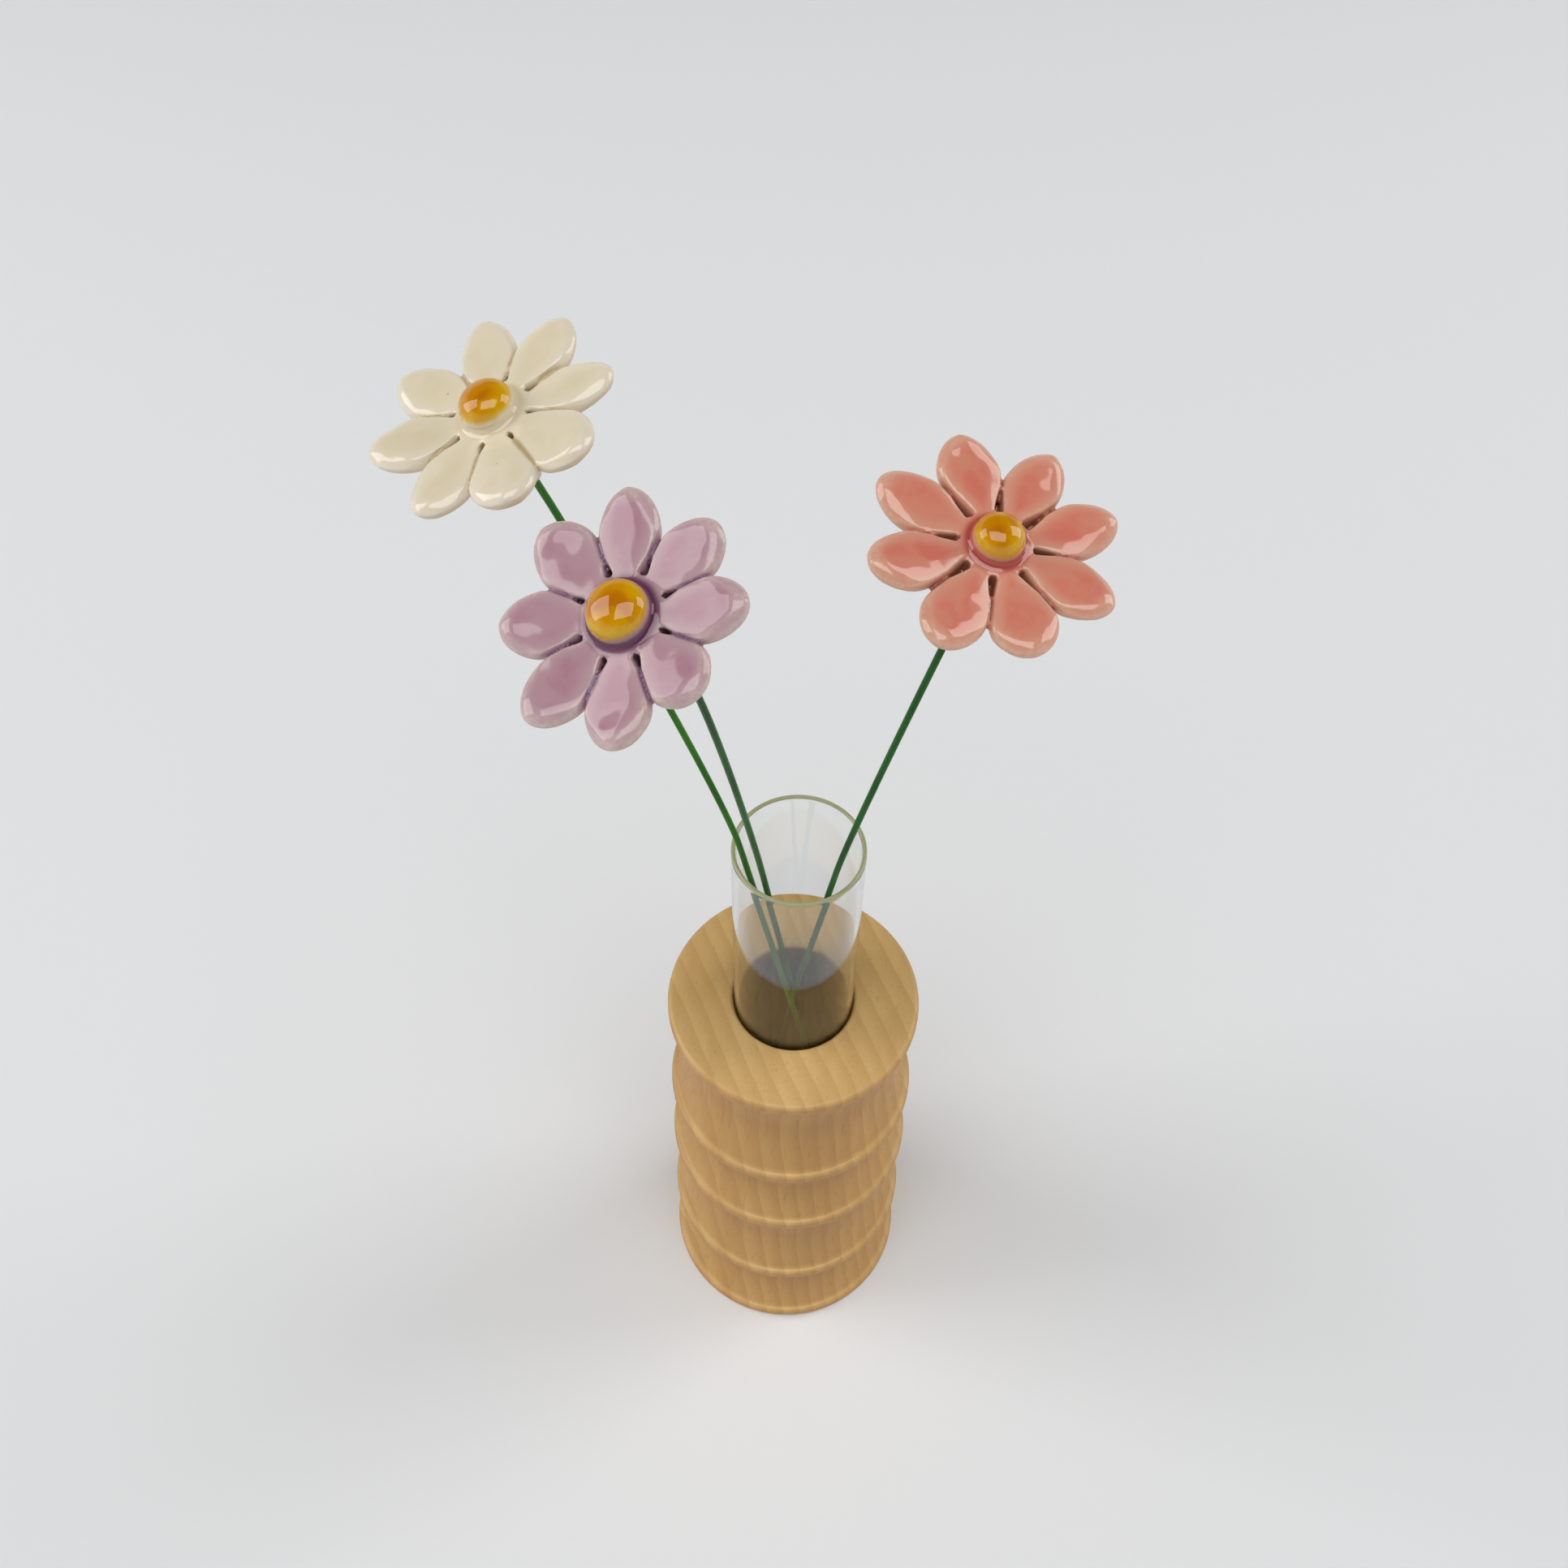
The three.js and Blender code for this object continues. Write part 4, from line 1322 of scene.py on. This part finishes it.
# %% [markdown]
# A stem is steel wire in a green plastic coat. A curve with a bevel would give a round wire as well, but a
# tree makes a mesh of it in one step: it sweeps a circle along a chain of points and closes both ends. The
# coat and the core share the tree and differ in radius.

# %% Geometry Nodes: a round wire
STEM_SIDES = 20


def wire_tree():
    tree, given = new_tree("round_wire", {"Radius": "NodeSocketFloat", "Sides": "NodeSocketInt"})
    path = add_node(tree, "GeometryNodeMeshToCurve", {0: given["Geometry"]}).outputs[0]
    values = {"Radius": given["Radius"], "Resolution": given["Sides"]}
    circle = add_node(tree, "GeometryNodeCurvePrimitiveCircle", values).outputs[0]
    values = {"Curve": path, "Profile Curve": circle, "Fill Caps": True}
    return end_tree(tree, given, add_node(tree, "GeometryNodeCurveToMesh", values).outputs[0])


WIRE = wire_tree()


def wire_piece(name, points, radius, material):
    piece = chain_object(name, points)
    nodes_modifier(piece, WIRE, {"Radius": radius * MM, "Sides": STEM_SIDES, "Material": material})
    return settle(piece, material)


print("Wire tree:", len(WIRE.nodes), "nodes")

# %% [markdown]
# Each stem stands on the tube's round bottom, runs straight to the rim where it leans, bends outwards
# above it and ends straight in its socket. The path could be drawn by hand, but its ends are given by the
# tube and by the head, so it is worked out: a straight run, one smooth curve that leaves and arrives in
# line, and a short lead.

# %% Stem paths
TUBE_WALL = 1.2
STEM_REACH = TUBE_RADIUS - TUBE_WALL - COAT_RADIUS - SEAT_GAP
RIM_LEAD = 6
RIM_BEND = 16
HEAD_LEAD = 6
HEAD_BEND = 8
LEAN_STEPS = 11
BEND_STEPS = 40
LEAD_STEPS = 5


def about_tube(degrees, distance, height):
    angle = math.radians(degrees)
    return Vector((distance * math.cos(angle), distance * math.sin(angle), height))


def stem_path(daisy, show):
    """The stem's centre line in metres, from its foot to its end, longer by show millimetres at the foot."""
    distance = STEM_REACH - daisy["foot_inset"]
    drop = math.sqrt(STEM_REACH ** 2 - distance ** 2)
    foot = about_tube(daisy["foot_angle"], distance, TUBE_FOOT + TUBE_RADIUS - drop)
    rim = about_tube(daisy["rim_angle"], STEM_REACH, TUBE_RIM)
    way = (rim - foot).normalized()
    facing = Vector(daisy["facing"]).normalized()
    levels = (SOCKET_END - HEAD_LEAD, SOCKET_BORE_END - SEAT_GAP)
    mouth, end = (head_matrix(daisy) @ Vector((0, 0, level * MM)) / MM for level in levels)
    start, bend = foot - way * show, rim + way * RIM_LEAD
    points = [start.lerp(bend, t) for t in np.linspace(0, 1, LEAN_STEPS, endpoint=False)]
    handles = (bend + way * RIM_BEND, mouth - facing * HEAD_BEND)
    points += interpolate_bezier(bend, *handles, mouth, BEND_STEPS + 1)[:-1]
    points += [mouth.lerp(end, t) for t in np.linspace(0, 1, LEAD_STEPS + 1)]
    return [point * MM for point in points]


print("Stem points:", {name: len(stem_path(daisy, 0)) for name, daisy in DAISIES.items()})

# %% [markdown]
# The coat is soft green plastic: one stem is leaf green, the others are darker. It is drawn over the wire,
# so its tone drifts along the stem, and handling has scuffed its gloss. The steel has fine lines from
# drawing. Both could follow a UV map along the wire, but stems are nearly upright, so a noise stretched
# along Z does as well.

# %% Coat and wire finishes
COAT_GRAIN = ((300, 300, 45), 2.0)
COAT_MIX = (0.3, 0.7)
SCUFF_NOISE = (1800, 2.0)
SCUFF_ROUGHNESS = (0.3, 0.8, 0.3, 0.48)
SCUFF_BUMP = (0.04 * MM, 0.4)
COAT_SPECULAR = 0.2
STEEL_GRAIN = ((3000, 3000, 120), 2.0)
STEEL_DARK = tone(150, 152, 154)
STEEL_BRIGHT = tone(186, 188, 190)
STEEL_ROUGHNESS = (0.2, 0.8, 0.25, 0.4)


def coat_finish(name, fresh, worn):
    material, tree, shader = new_material(name)
    drift = grain(tree, *COAT_GRAIN)
    scuff = noise(tree, place_in_object(tree), *SCUFF_NOISE)
    colour = mixed(tree, smooth_step(tree, drift, *COAT_MIX), fresh, worn)
    feed(tree, shader, {"Base Color": colour, "Roughness": smooth_step(tree, scuff, *SCUFF_ROUGHNESS),
                        "Specular IOR Level": COAT_SPECULAR})
    bumped(tree, shader, scuff, *SCUFF_BUMP)
    return material


def steel_finish():
    material, tree, shader = new_material("steel_wire")
    drawn = grain(tree, *STEEL_GRAIN)
    feed(tree, shader, {"Base Color": mixed(tree, drawn, STEEL_DARK, STEEL_BRIGHT),
                        "Roughness": smooth_step(tree, drawn, *STEEL_ROUGHNESS), "Metallic": 1.0})
    return material


STEEL = steel_finish()
LEAF_GREEN = coat_finish("leaf_green_coat", tone(34, 98, 8), tone(52, 118, 18))
DARK_GREEN = coat_finish("dark_green_coat", tone(10, 74, 12), tone(24, 96, 22))
print("Finishes:", [finish.name for finish in (STEEL, LEAF_GREEN, DARK_GREEN)])

# %% [markdown]
# Coat and core follow the same path. Ending the core flush with the coat would leave two faces in one
# plane, so the wire, which was cut after it was coated, shows a hair's breadth of bright steel at its
# foot.

# %% Stems
CORE_RADIUS = 0.3
CORE_SHOW = 0.04
COATS = {"white": (LEAF_GREEN, "leaf_green_coat"), "lilac": (DARK_GREEN, "dark_green_coat"),
         "coral": (DARK_GREEN, "dark_green_coat")}

for daisy_name, daisy_values in DAISIES.items():
    finish, slot_name = COATS[daisy_name]
    coat = wire_piece(f"{daisy_name}_stem_coat", stem_path(daisy_values, 0), COAT_RADIUS, finish)
    core = wire_piece(f"{daisy_name}_stem_core", stem_path(daisy_values, CORE_SHOW), CORE_RADIUS, STEEL)
    for piece, node_name, piece_slot in ((coat, "coat", slot_name), (core, "core", "wire")):
        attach(piece, f"{daisy_name}_daisy")
        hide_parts(f"{daisy_name}_{node_name}")
    print(daisy_name, "stem:", len(coat.data.polygons), "faces")
